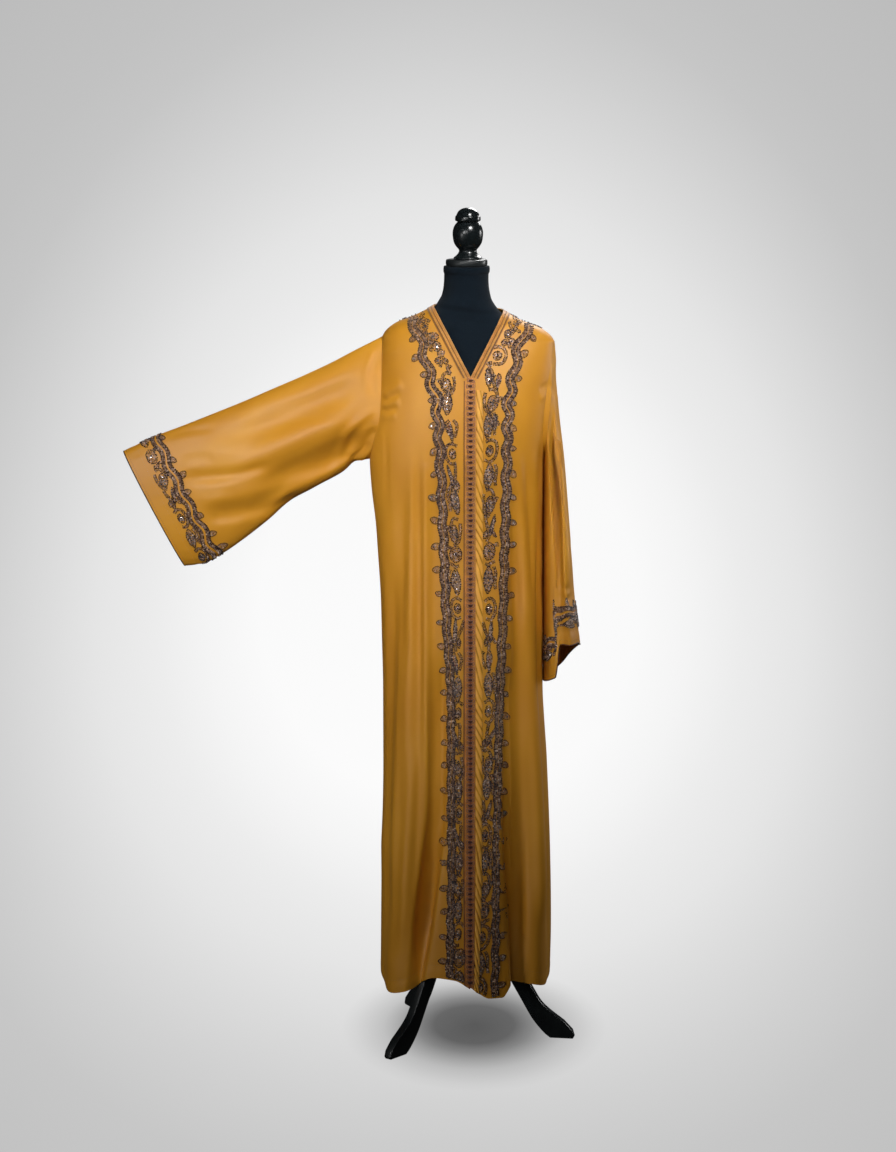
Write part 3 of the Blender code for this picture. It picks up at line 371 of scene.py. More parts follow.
class Sheet:
    """A grid of points on the outside of the cloth, with the way out at each point."""

    def __init__(self, points, round_about=False, turned_over=False):
        self.points = np.array(points)
        self.round_about = round_about
        self.turned_over = turned_over
        self.rows, self.columns = self.points.shape[:2]
        self.face_out()

    def face_out(self):
        up = np.gradient(self.points, axis=0)
        if self.round_about:
            across = np.roll(self.points, -1, 1) - np.roll(self.points, 1, 1)
        else:
            across = np.gradient(self.points, axis=1)
        out = unit(np.cross(across, up))
        self.out = -out if self.turned_over else out

    def swell(self, rise):
        """Moves each point out by its rise."""
        self.points = self.points + self.out * rise[..., None]
        self.face_out()

    def clear_of_sides(self, reach):
        """0 at the side edges of a panel and 1 from this far in; 1 all round a sleeve."""
        if self.round_about:
            return 1.0
        u = self.lengths()[0]
        return ease(u / reach) * ease((u[:, -1:] - u) / reach)

    def round_edge(self):
        """The length of the last row, all the way round."""
        return distances_along(np.concatenate([self.points[-1], self.points[-1, :1]]))[-1]

    def level(self, rows, columns, axis):
        """Keeps the way out at these points clear of one axis, so that a seam's edges stay parallel."""
        way = self.out[rows, columns].copy()
        way[..., axis] = 0.0
        self.out[rows, columns] = unit(way)

    def lengths(self):
        """How far along its row and up its column each point lies, for the weave."""
        across = np.linalg.norm(np.diff(self.points, axis=1), axis=2)
        up = np.linalg.norm(np.diff(self.points, axis=0), axis=2)
        u = np.concatenate([np.zeros((self.rows, 1)), np.cumsum(across, axis=1)], axis=1)
        v = np.concatenate([np.zeros((1, self.columns)), np.cumsum(up, axis=0)], axis=0)
        return u, v

    def at(self, row, column):
        """Points and ways out at places between the grid's lines."""
        row = np.clip(row, 0, self.rows - 1.000001)
        i = row.astype(int)
        u = (row - i)[..., None]
        if self.round_about:
            column = np.mod(column, self.columns)
        else:
            column = np.clip(column, 0, self.columns - 1.000001)
        j = column.astype(int)
        after = (j + 1) % self.columns
        v = (column - j)[..., None]
        found = []
        for grid in (self.points, self.out):
            low = grid[i, j] * (1 - v) + grid[i, after] * v
            high = grid[i + 1, j] * (1 - v) + grid[i + 1, after] * v
            found.append(low * (1 - u) + high * u)
        return found[0], unit(found[1])

    def place(self, across, height):
        """Rows and columns of the points that the front view shows at these places."""
        coarse = self.points[::4, ::2]
        flat = coarse.reshape(-1, 3)[:, [0, 2]]
        row, column = np.empty(len(across)), np.empty(len(across))
        for start in range(0, len(across), 2000):
            part = slice(start, start + 2000)
            gaps = (across[part, None] - flat[None, :, 0]) ** 2 + (height[part, None] - flat[None, :, 1]) ** 2
            nearest = gaps.argmin(axis=1)
            row[part], column[part] = nearest // coarse.shape[1] * 4.0, nearest % coarse.shape[1] * 2.0
        step = 0.5
        for _ in range(14):
            here = self.at(row, column)[0]
            by_row = (self.at(row + step, column)[0] - self.at(row - step, column)[0])[:, [0, 2]]
            by_column = (self.at(row, column + step)[0] - self.at(row, column - step)[0])[:, [0, 2]]
            miss = np.stack([across - here[:, 0], height - here[:, 2]], -1)
            size = by_row[:, 0] * by_column[:, 1] - by_row[:, 1] * by_column[:, 0]
            size = np.where(np.abs(size) < 1e-9, 1e-9, size)
            d_row = (miss[:, 0] * by_column[:, 1] - miss[:, 1] * by_column[:, 0]) / size
            d_column = (by_row[:, 0] * miss[:, 1] - by_row[:, 1] * miss[:, 0]) / size
            row = np.clip(row + np.clip(d_row, -2, 2), 0, self.rows - 1.001)
            column = np.clip(column + np.clip(d_column, -1, 1), 0, self.columns - 1.001)
        return row, column

    def on_front(self, across, height):
        return self.at(*self.place(across, height))

    def across_rows(self, rows, distances):
        """Points and ways out at these distances along each row, measured from its first point."""
        u = self.lengths()[0]
        low = np.clip(rows.astype(int), 0, self.rows - 2)
        share = (rows - low)[:, None]
        reached = u[low] * (1 - share) + u[low + 1] * share
        distances = np.broadcast_to(distances, (len(rows), np.shape(distances)[-1]))
        places = np.arange(self.columns)
        columns = np.stack([np.interp(d, line, places) for d, line in zip(distances, reached)])
        return self.at(np.broadcast_to(rows[:, None], columns.shape), columns)

    def near_edge(self, around, from_edge):
        """Points and ways out on a sleeve, at shares of the way round and distances from the cuff's edge."""
        ring = np.concatenate([self.points, self.points[:, :1]], axis=1)
        lengths = distances_along(ring[-1])
        column = np.interp(np.mod(around, 1.0) * lengths[-1], lengths, np.arange(self.columns + 1))
        deep = 24
        spacing = np.linalg.norm(np.diff(ring[-deep:], axis=0), axis=2).sum(axis=0) / (deep - 1)
        row = self.rows - 1 - from_edge / np.interp(column, np.arange(self.columns + 1), spacing)
        return self.at(row, column)


def folded(points, folds, places, height):
    """A row moved in and out by its folds, square to its own line."""
    run = np.gradient(points, axis=0)
    inward = unit(np.stack([-run[:, 1], run[:, 0], np.zeros(len(run))], -1))
    facing_out = (inward[:, :2] * points[:, :2]).sum(axis=1) > 0
    inward[facing_out] *= -1
    return points + inward * fold_offset(folds, places, height)[:, None]


def hung(points, table, height, shares):
    """A row of the skirt let down to the hem's own line."""
    moved = points.copy()
    moved[:, 2] -= (1 - ease((height - HEM) / HEM_BLEND)) * table.read("drop", shares)
    return moved


FIRST_COLUMNS = np.concatenate([np.linspace(0, KNOT_COLUMN, 3), np.arange(0.0088, 0.032, 0.00185)])
FRONT_SHARES = np.linspace(0, 1, FRONT_COLUMNS + 1)[1:]
WIDENING_START = 0.44


def widening(key):
    """How much wider the edge columns grow towards the braid of the neck."""
    return mix(1.0, NECK_BRAID / BRAID_COLUMN, float(ease((key - WIDENING_START) / (V_SHARE - WIDENING_START))))


def front_sheet(side):
    grid = []
    for key in ROW_KEYS:
        curve = front_row(side, key)
        total = distances_along(curve)[-1]
        first = FIRST_COLUMNS * (widening(key) if key >= 0 else 1.0)
        places = np.concatenate([first, mix(first[-1], total, FRONT_SHARES)])
        row = along(curve, places)
        if key < 0:
            row = folded(row, FRONT_FOLDS[side], places, -key)
            row = hung(row, HEM_DROP[side], -key, places / total)
            row[-1, 0] = curve[-1, 0]
        if key <= V_SHARE:
            row[0, 0] = FRONT_LINE + side * SEAM_GAP / 2
        if key == 1.0:
            row[:, 1] = -SEAM_GAP / 2
        elif key < 0:
            row[-1, 1] = -SEAM_GAP / 2
        grid.append(row)
    return Sheet(grid, turned_over=side == RIGHT)


def back_shares():
    """Places along the back's rows, with a column at each corner of the neck."""
    top = back_row(1.0)
    total = distances_along(top)[-1]
    steps = np.linalg.norm(np.diff(top, axis=0), axis=1)
    reach = np.maximum(np.abs(top[1:, 0]), np.abs(top[:-1, 0]))
    corner = steps[reach > NECK_HALF].sum() / 2 / total
    marks = (0.0, corner, 1 - corner, 1.0)
    shares = [np.linspace(a, b, count + 1)[1:] for a, b, count in zip(marks, marks[1:], BACK_COLUMNS)]
    return np.concatenate([[0.0], *shares])


def back_sheet():
    shares = back_shares()
    grid = []
    for key in ROW_KEYS:
        curve = back_row(key)
        total = distances_along(curve)[-1]
        row = along(curve, shares * total)
        if key < 0:
            ends = row[0, 0], row[-1, 0]
            row = folded(row, BACK_FOLDS, (shares - 0.5) * total, -key)
            row = hung(row, HEM_DROP[0], -key, shares)
            row[0, 0], row[-1, 0] = ends
            row[0, 1] = row[-1, 1] = SEAM_GAP / 2
        if key == 1.0:
            row[:, 1] = np.maximum(row[:, 1], SEAM_GAP / 2)
        grid.append(row)
    return Sheet(grid, turned_over=True)


def sleeve_form(side, shares, angles):
    """The sleeve's own form, before it is joined to the armhole."""
    table = SLEEVE[side]
    share, angle = shares[:, None], angles[None, :]
    top_x, top_z = side * table.read("top_x", share), table.read("top_z", share)
    low_x, low_z = side * table.read("low_x", share), table.read("low_z", share)
    swing, lift = np.sin(angle), np.cos(angle)
    x = (top_x + low_x) / 2 - (top_x - low_x) / 2 * lift
    z = (top_z + low_z) / 2 - (top_z - low_z) / 2 * lift
    y = table.read("back_by", share) - table.read("depth", share) * swing
    for near_angle, far_angle, half_angle, fold, near, far in SLEEVE_FOLDS[side]:
        middle = np.radians(mix(near_angle, far_angle, share))
        away = (angle - middle + np.pi) % (2 * np.pi) - np.pi
        strength = hump(away / math.radians(half_angle))
        strength = strength * ease((share - near) / SLEEVE_FOLD_RISE) * ease((far - share) / SLEEVE_FOLD_FADE)
        y = y + np.where(swing < 0, -1, 1) * fold * strength
    late = ease((share - CUFF_DROP_START) / (1 - CUFF_DROP_START))
    z = z + np.where(swing < 0, CUFF_DROP_BACK[side] * swing * late, 0.0)
    return np.stack(np.broadcast_arrays(x, y, z), -1)


def sleeve_sheet(side, front, back):
    back_column = 0 if side == RIGHT else -1
    up_front = front.points[UNDERARM_ROW:, -1]
    down_back = back.points[TOP_ROW - 1 : UNDERARM_ROW : -1, back_column]
    seam = np.concatenate([up_front, down_back]).copy()
    top = len(up_front) - 1
    seam[0, 1] = seam[top, 1] = 0.0
    first, second = seam[: top + 1], np.concatenate([seam[top:], seam[:1]])
    angles = np.concatenate(
        [
            math.pi * (turn + distances_along(half)[:-1] / distances_along(half)[-1])
            for turn, half in enumerate((first, second))
        ]
    )
    shares = np.linspace(0, 1, SLEEVE_ROWS + 1)
    form = sleeve_form(side, shares, angles)
    hold = np.maximum(0.0, 1 - shares / ARMHOLE_BLEND) ** 2
    grid = form + (seam - form[0])[None] * hold[:, None, None]
    grid[0] = seam + np.array((side * SEAM_GAP, 0, 0))
    return Sheet(grid, round_about=True, turned_over=side == LEFT)


# Creases: soft troughs and ridges laid on the cloth, each along a line in the front view.
# Each line has the places it runs through, then its half width and depth; below zero it stands out.
CREASES = {
    "front_right": """-.133 .889, -.149 .675, -.166 .508, -.179 .327: .02 -.005
        -.152 .889, -.168 .632, -.181 .415: .014 .0034
        -.091 1.333, -.091 1.144, -.089 .889, -.087 .545: .007 -.0028
        -.105 1.312, -.106 1.059, -.106 .761: .009 .0022
        -.118 1.312, -.118 1.102, -.123 .868: .01 -.0022
        -.06 .889, -.073 .632, -.094 .327, -.116 .14: .012 .0032
        -.14 1.23, -.143 1.05, -.15 .85: .012 .0026
        -.174 1.33, -.172 1.27, -.174 1.18: .004 .0016
        -.181 1.395, -.16 1.412, -.135 1.43: .009 -.0034
        -.181 1.375, -.16 1.385, -.14 1.392: .008 -.003
        -.183 1.355, -.165 1.358, -.148 1.362: .007 -.0024
        -.181 1.385, -.163 1.398, -.142 1.41: .005 .0024
        -.182 1.365, -.166 1.371, -.148 1.376: .005 .0022
        -.183 1.47, -.168 1.486, -.14 1.5: .008 -.002
        -.15 .36, -.158 .27, -.165 .18: .014 .004
        -.053 .88, -.053 .76, -.054 .64, -.057 .52, -.062 .43: .01 .009
        -.064 .88, -.066 .7, -.07 .54, -.078 .42, -.092 .3, -.104 .15: .017 .012
        -.11 .7, -.122 .52, -.136 .35, -.146 .19: .012 -.005""",
    "front_left": """.099 1.31, .108 1.15, .118 .98, .122 .84: .012 -.0066
        .092 1.24, .098 1.08, .104 .93: .012 .0056
        .12 1.3, .132 1.12, .138 .95: .011 .005
        .132 1.3, .146 1.1, .15 .96: .01 -.005
        .09 1.27, .104 1.225, .11 1.195: .007 .003
        .15 1.19, .156 1.06, .158 .94: .008 .0034
        .171 1.425, .16 1.418, .146 1.414: .006 .0022
        .169 1.405, .158 1.397, .146 1.394: .006 -.0022
        .148 .82, .15 .6, .158 .4, .162 .25: .016 -.0044
        .128 .7, .132 .5, .14 .3: .014 .0034
        .094 1.15, .096 1, .096 .86, .096 .72: .014 .005
        .093 .88, .094 .76, .095 .6, .098 .4, .104 .15: .02 .017
        .08 .86, .08 .7, .082 .52, .086 .35: .01 .008""",
    "back": """-.181 1.4, -.15 1.38, -.11 1.372: .01 -.003
        -.183 1.37, -.16 1.345, -.13 1.33: .008 .0026
        .17 1.42, .145 1.385, .12 1.34: .011 -.0032
        .166 1.39, .148 1.35, .13 1.3: .008 .0026
        -.12 1.18, -.118 1, -.126 .8, -.14 .56: .014 -.0044
        -.05 1.25, -.046 1.06, -.052 .86: .013 .0034
        .022 1.22, .026 1.02, .02 .8, .026 .6: .013 -.004
        .095 1.24, .092 1.06, .1 .85: .012 .0034
        .132 1.15, .136 .95, .132 .7: .013 -.0036
        -.06 .48, -.07 .33, -.082 .19: .016 .0042
        .066 .5, .072 .34, .08 .18: .016 .0042""",
    "sleeve_right": """-.574 1.258, -.481 1.281, -.399 1.3, -.323 1.332, -.22 1.372: .03 -.009
        -.616 1.218, -.555 1.222, -.481 1.232, -.407 1.254: .012 .0064
        -.571 1.134, -.493 1.145, -.408 1.158, -.334 1.192: .015 .006
        -.587 1.175, -.492 1.186, -.387 1.209, -.313 1.239: .018 -.006
        -.642 1.307, -.596 1.317, -.533 1.324: .008 .0018
        -.607 1.256, -.569 1.262, -.534 1.264: .008 .0018
        -.566 1.181, -.52 1.19, -.482 1.192: .008 .0018
        -.552 1.132, -.508 1.13, -.472 1.137: .008 .0018
        -.47 1.345, -.413 1.368, -.35 1.386: .01 .001
        -.42 1.33, -.354 1.343, -.29 1.36: .01 .001
        -.34 1.338, -.274 1.351, -.23 1.372: .009 .0012
        -.19 1.336, -.215 1.302, -.237 1.271, -.27 1.258: .008 .005
        -.192 1.374, -.228 1.345, -.257 1.315, -.283 1.247: .009 -.0042
        -.203 1.3, -.228 1.271, -.26 1.239: .007 .0038
        -.192 1.302, -.211 1.277, -.237 1.247: .006 -.0034
        -.262 1.32, -.287 1.256, -.318 1.21: .01 .0018
        -.183 1.492, -.202 1.44, -.198 1.387: .006 .0026
        -.194 1.502, -.215 1.446, -.215 1.397: .006 -.0022""",
    "sleeve_left": """.178 1.4, .181 1.308, .183 1.18, .183 1.06, .182 .94, .186 .83: .0095 .017
        .203 1.329, .208 1.182, .209 1.055, .207 .969: .01 -.0045
        .219 1.097, .222 1.012, .224 .959: .005 .002
        .175 1.492, .182 1.451, .182 1.403: .006 .003
        .19 1.492, .196 1.434, .197 1.371: .008 -.0026
        .167 1.428, .178 1.409, .192 1.392: .004 .0022
        .184 1.006, .199 .995, .218 .991: .005 .0026
        .184 .978, .205 .969, .224 .976: .005 .0024""",
}

# The same kind of creases on the sides of the sleeves that the front view doesn't show
CREASES_BEHIND = {
    "sleeve_right": """-.6 1.24, -.48 1.262, -.36 1.3, -.24 1.35: .026 -.008
        -.59 1.16, -.47 1.18, -.35 1.222: .015 .006
        -.64 1.29, -.56 1.306, -.47 1.326: .01 .0044
        -.56 1.11, -.48 1.128, -.4 1.16: .012 -.0044
        -.19 1.35, -.225 1.3, -.27 1.262: .009 .0046
        -.196 1.4, -.24 1.35, -.3 1.31: .01 -.004
        -.2 1.46, -.26 1.425, -.33 1.4: .01 .003""",
    "sleeve_left": """.184 1.4, .188 1.25, .19 1.08, .192 .94: .009 .006
        .2 1.38, .206 1.2, .208 1: .009 -.0044
        .174 1.33, .176 1.16, .178 1: .007 -.0034
        .18 .96, .2 .948, .224 .956: .006 .0026""",
}


def distance_to_line(across, height, line):
    """How far each place lies from a line of points, and how far along it the nearest point is, 0 to 1."""
    lengths = distances_along(line)
    nearest = np.full(across.shape, np.inf)
    reach = np.zeros(across.shape)
    for k, (a, b) in enumerate(zip(line, line[1:])):
        run = b - a
        t = np.clip(((across - a[0]) * run[0] + (height - a[1]) * run[1]) / (run @ run), 0, 1)
        gap = np.hypot(across - a[0] - t * run[0], height - a[1] - t * run[1])
        closer = gap < nearest
        nearest = np.where(closer, gap, nearest)
        reach = np.where(closer, (lengths[k] + t * (lengths[k + 1] - lengths[k])) / lengths[-1], reach)
    return nearest, reach


CREASE_STEPS = 8
CREASE_FADE = 0.22
CREASE_FROM_SIDE = 0.008


def press(sheet, creases, face):
    """Presses creases into the side of a sheet that faces the front or the back."""
    across, height = sheet.points[..., 0], sheet.points[..., 2]
    facing = ease((sheet.out[..., 1] * face) / 0.35 + 0.3)
    moved = np.zeros(across.shape)
    for crease in creases.splitlines():
        line, ((half, depth),) = map(rows_of, crease.split(":"))
        gap, reach = distance_to_line(across, height, smooth_line(line, CREASE_STEPS))
        fade = ease(reach / CREASE_FADE) * ease((1 - reach) / CREASE_FADE)
        moved -= depth * hump(gap / (2 * half)) ** 1.5 * fade * facing
    sheet.swell(moved * sheet.clear_of_sides(CREASE_FROM_SIDE))


def smooth_line(points, steps, closed=False):
    """A soft curve through points, with this many steps between each two."""
    points = np.asarray(points, float)
    if closed:
        before, after, after_next = np.roll(points, 1, 0), np.roll(points, -1, 0), np.roll(points, -2, 0)
        start, end = points, after
    else:
        start, end = points[:-1], points[1:]
        before = np.concatenate([points[:1], points[:-2]])
        after_next = np.concatenate([points[2:], points[-1:]])
    t = (np.arange(steps) / steps)[None, :, None]
    a, b, c, d = (p[:, None, :] for p in (before, start, end, after_next))
    curve = 0.5 * (
        2 * b + (c - a) * t + (2 * a - 5 * b + 4 * c - d) * t**2 + (3 * b - a - 3 * c + d) * t**3
    )
    curve = curve.reshape(-1, points.shape[1])
    return curve if closed else np.concatenate([curve, points[-1:]])


def shift_to_frame():
    """From the tables' own origin, the middle of the neck, to the frame's."""
    low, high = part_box("pole")
    return np.array(((low.x + high.x) / 2 - POLE_X, (low.y + high.y) / 2, low.z - POLE_FOOT))


SHIFT = shift_to_frame()
_cloth = {}


def kaftan_cloth():
    """All sheets of the kaftan, made once and shared by the pieces that lie on them."""
    if not _cloth:
        fronts = {side: front_sheet(side) for side in (RIGHT, LEFT)}
        back = back_sheet()
        sleeves = {side: sleeve_sheet(side, fronts[side], back) for side in (RIGHT, LEFT)}
        lay_beside_skirt(sleeves[LEFT])
        draw_up_cuff(sleeves[LEFT])
        for side in (RIGHT, LEFT):
            front, sleeve = "front_" + side_name(side), "sleeve_" + side_name(side)
            _cloth[front], _cloth[sleeve] = fronts[side], sleeves[side]
            press(fronts[side], CREASES[front], FRONT)
            press(sleeves[side], CREASES[sleeve], FRONT)
            press(sleeves[side], CREASES_BEHIND[sleeve], BACK)
            pucker_seam(fronts[side], -1, slice(UNDERARM_ROW, None))
            pucker_armhole(sleeves[side])
        _cloth["back"] = back
        press(back, CREASES["back"], BACK)
        for column in (0, -1):
            pucker_seam(back, column, slice(UNDERARM_ROW, None))
        for sheet in _cloth.values():
            stitch_hem(sheet)
        for side in (RIGHT, LEFT):
            hold_seams(fronts[side])
    return _cloth


SLEEVE_REACH = 0.026


def lay_beside_skirt(sheet):
    """Draws the inner edge of the hanging sleeve in until it lies against the skirt."""
    across, height = sheet.points[..., 0], sheet.points[..., 2]
    inner = across.min(axis=1, keepdims=True)
    skirt = BODY.read("left", height[np.arange(sheet.rows), across.argmin(axis=1)])[:, None] + 0.0005
    share = np.linspace(0, 1, sheet.rows)[:, None]
    drawn = np.maximum(0, inner - skirt) * ease((share - 0.02) / 0.08)
    sheet.points[..., 0] -= drawn * ease(1 - (across - inner) / SLEEVE_REACH)
    sheet.face_out()


CUFF_LEVEL = 0.872
CUFF_LEVEL_FROM = 0.184
CUFF_LEVEL_BLEND = 0.012
CUFF_DRAWN = 0.78


def draw_up_cuff(sheet):
    """Draws up the front of the hanging cuff: its edge lies level in front, and the back hangs below it."""
    edge = sheet.points[-1]
    in_front = ease(-sheet.out[-1, :, 1] / 0.3)
    wanted = mix(edge[:, 2], CUFF_LEVEL, ease((edge[:, 0] - CUFF_LEVEL_FROM) / CUFF_LEVEL_BLEND) * in_front)
    share = np.linspace(0, 1, sheet.rows)[:, None]
    sheet.points[..., 2] += (wanted - edge[:, 2]) * ease((share - CUFF_DRAWN) / (1 - CUFF_DRAWN))
    sheet.face_out()


def hold_seams(sheet):
    """Keeps the edges of a front parallel to the edges that it is sewn to."""
    sheet.level(slice(0, V_ROW), 0, 0)
    sheet.level(slice(0, UNDERARM_ROW + 1), -1, 1)
    sheet.level(-1, slice(None), 1)


PUCKER_REACH = 0.022
PUCKER_PITCH = 0.0125
PUCKER_DEPTH = 0.0007


def pucker(along_seam, from_seam):
    """Small gathers that run off a seam, uneven from one to the next."""
    wave = np.sin(2 * np.pi * along_seam / PUCKER_PITCH + 1.7 * np.sin(along_seam / 0.031))
    uneven = 0.55 + 0.45 * np.sin(along_seam / 0.047 + 0.8)
    grown = ease(from_seam / 0.004)
    return PUCKER_DEPTH * wave * uneven * grown * np.maximum(0, 1 - from_seam / PUCKER_REACH) ** 1.5


def pucker_seam(sheet, column, rows):
    """Gathers at the armhole edge of a panel."""
    u, v = sheet.lengths()
    from_seam = u if column == 0 else u[:, -1:] - u
    moved = np.zeros(u.shape)
    moved[rows] = pucker(v[rows, column][:, None], from_seam[rows])
    sheet.swell(moved)


def pucker_armhole(sheet):
    u, v = sheet.lengths()
    sheet.swell(pucker(u[0][None, :], v))


FACING_INNER = 0.0108
FACING_OUTER = 0.0252
FACING_PITCH = 0.0272
FACING_RISE = 0.0046
FACING_SLANT = 1.35
# How far its puffs wander, and over what length
FACING_WANDER = ((0.62, 0.083), (0.34, 0.031))


def facing_rise(height, across):
    """How far the puckered facing stands up: leaf-shaped puffs on the slant, drawn down between them."""
    wander = sum(size * np.sin(height / length) for size, length in FACING_WANDER)
    puff = np.abs(np.sin(np.pi * (height / FACING_PITCH + FACING_SLANT * across + wander))) ** 0.8
    second = np.abs(np.sin(np.pi * (height / 0.0119 - 0.6 * across + 2.0 * wander)))
    profile = np.sqrt(np.maximum(0, 1 - (2 * across - 1) ** 2))
    size = 0.80 + 0.20 * np.sin(height / 0.21 + 1.0)
    return 0.0005 + FACING_RISE * size * profile * (0.10 + 0.74 * puff + 0.16 * second * puff)


HEM_DEPTH = 0.028
HEM_FROM_SIDE = 0.01


def stitch_hem(sheet):
    """The turned-up edge: a little fuller below its row of stitches, which draws the cloth in."""
    u, v = sheet.lengths()
    from_edge = v[-1] - v if sheet.round_about else v
    along_edge = u[-1:] if sheet.round_about else u[:1]
    drawn = hump((from_edge - HEM_DEPTH) / 0.007)
    fuller = hump((from_edge - 0.5 * HEM_DEPTH) / (0.5 * HEM_DEPTH))
    wave = np.sin(2 * np.pi * along_edge / 0.021 + 1.3 * np.sin(along_edge / 0.05))
    near = hump((from_edge - HEM_DEPTH) / 0.020)
    moved = 0.0004 * fuller - 0.0006 * drawn + 0.0005 * wave * near
    sheet.swell(moved * sheet.clear_of_sides(HEM_FROM_SIDE))


class Value:
    """A number that a finish works out place by place; each sum or product with it is a node."""

    def __init__(self, finish, socket):
        self.finish, self.socket = finish, socket

    def __add__(self, other):
        return self.finish.math("ADD", self, other)

    def __sub__(self, other):
        return self.finish.math("SUBTRACT", self, other)

    def __mul__(self, other):
        return self.finish.math("MULTIPLY", self, other)

    def __truediv__(self, other):
        return self.finish.math("DIVIDE", self, other)


class Finish:
    """A procedural material, put together node by node."""

    def __init__(self, name, **sockets):
        self.material = bpy.data.materials.new(name)
        self.material.use_nodes = True
        self.tree = self.material.node_tree
        self.shader = self.tree.nodes["Principled BSDF"]
        for socket, value in sockets.items():
            self.set(socket.replace("_", " "), value)

    def set(self, socket, value):
        self.feed(self.shader.inputs[socket], value)

    def feed(self, socket, value):
        value = getattr(value, "socket", value)
        if isinstance(value, bpy.types.NodeSocket):
            self.tree.links.new(value, socket)
        elif isinstance(value, tuple) and len(value) == 3 and len(socket.default_value) == 4:
            socket.default_value = (*value, 1.0)
        else:
            socket.default_value = value

    def node(self, kind, sockets=None, **settings):
        made = self.tree.nodes.new("ShaderNode" + kind)
        for key, value in settings.items():
            setattr(made, key, value)
        for socket, value in (sockets or {}).items():
            self.feed(made.inputs[socket], value)
        return made

    def noise(self, where, scale, detail=2.0, roughness=0.5):
        sockets = {"Vector": where, "Scale": scale, "Detail": detail, "Roughness": roughness}
        return Value(self, self.node("TexNoise", sockets).outputs["Fac"])

    def spread(self, value, low, high, to_low=0.0, to_high=1.0):
        sockets = {"Value": value, "From Min": low, "From Max": high, "To Min": to_low, "To Max": to_high}
        return Value(self, self.node("MapRange", sockets, interpolation_type="SMOOTHSTEP").outputs["Result"])

    def blend(self, share, first, second):
        return self.node("Mix", {"Factor": share, 6: first, 7: second}, data_type="RGBA").outputs[2]

    def math(self, operation, first, second=0.0):
        return Value(self, self.node("Math", {0: first, 1: second}, operation=operation).outputs[0])

    def stretched(self, where, scale):
        return self.node("Mapping", {"Vector": where, "Scale": scale}).outputs["Vector"]

    def objects_place(self):
        return self.node("TexCoord").outputs["Object"]

    def cloth_place(self):
        return self.node("TexCoord").outputs["UV"]

    def apart(self, where):
        return [Value(self, part) for part in self.node("SeparateXYZ", {"Vector": where}).outputs]

    def each_piece(self):
        """A number from 0 to 1 that is different for each bead, stitch or stone of a mesh."""
        return self.node("NewGeometry").outputs["Random Per Island"]

    def ramp(self, value, stops):
        """Colours in order along a value from 0 to 1."""
        made = self.node("ValToRGB", {"Fac": value})
        colours = made.color_ramp.elements
        colours[0].position, colours[1].position = stops[0][0], stops[-1][0]
        for position, _ in stops[1:-1]:
            colours.new(position)
        for stop, (_, colour) in zip(colours, stops):
            stop.color = (*colour, 1.0)
        return made.outputs["Color"]

    def raise_by(self, height, distance, strength=1.0):
        bump = self.node("Bump", {"Height": height, "Distance": distance, "Strength": strength})
        self.set("Normal", bump.outputs["Normal"])
        return bump


def satin_finish(name, light, deep, roughness):
    """Crepe-backed satin: a soft sheen, a fine weave and slow shifts of tone."""
    made = Finish(name, Roughness=roughness, Sheen_Weight=0.05, Sheen_Roughness=0.45)
    made.set("Sheen Tint", (1.0, 0.74, 0.34, 1.0))
    made.set("Specular IOR Level", 0.45)
    where = made.cloth_place()
    slow = made.noise(made.stretched(where, (5.0, 2.2, 1.0)), 1.0, 3.0, 0.55)
    threads = made.noise(made.stretched(where, (900.0, 150.0, 1.0)), 1.0, 2.0, 0.6)
    grain = made.noise(made.stretched(where, (650.0, 650.0, 1.0)), 1.0, 3.0, 0.7)
    tone = slow * 0.8 + grain * 0.2
    made.set("Base Color", made.blend(made.spread(tone, 0.30, 0.70), deep, light))
    made.raise_by(threads + grain * 0.8, 0.00012, 0.5)
    return made.material


def link(name, mesh, *materials):
    for material in materials:
        mesh.materials.append(material)
    piece = bpy.data.objects.new(name, mesh)
    bpy.context.scene.collection.objects.link(piece)
    return piece


def build_mesh(name, points, face_sets, smooth=True):
    """A mesh from points and sets of faces, each set with its own number of corners."""
    mesh = bpy.data.meshes.new(name)
    corners = np.concatenate([faces.ravel() for faces in face_sets]).astype(np.int32)
    sizes = np.concatenate([np.full(len(faces), faces.shape[1]) for faces in face_sets])
    starts = np.concatenate([[0], np.cumsum(sizes)[:-1]]).astype(np.int32)
    mesh.vertices.add(len(points))
    mesh.vertices.foreach_set("co", (points + SHIFT).astype(np.float32).ravel())
    mesh.loops.add(len(corners))
    mesh.loops.foreach_set("vertex_index", corners)
    mesh.polygons.add(len(sizes))
    mesh.polygons.foreach_set("loop_start", starts)
    mesh.update(calc_edges=True)
    if smooth:
        mesh.shade_smooth()
    return mesh


def grid_faces(rows, columns, round_about=False):
    """The quads of a grid of points, row by row."""
    i = np.arange(rows - 1)[:, None]
    j = np.arange(columns if round_about else columns - 1)[None, :]
    after = (j + 1) % columns
    corners = (i * columns + j, i * columns + after, (i + 1) * columns + after, (i + 1) * columns + j)
    return np.stack(np.broadcast_arrays(*corners), -1).reshape(-1, 4)


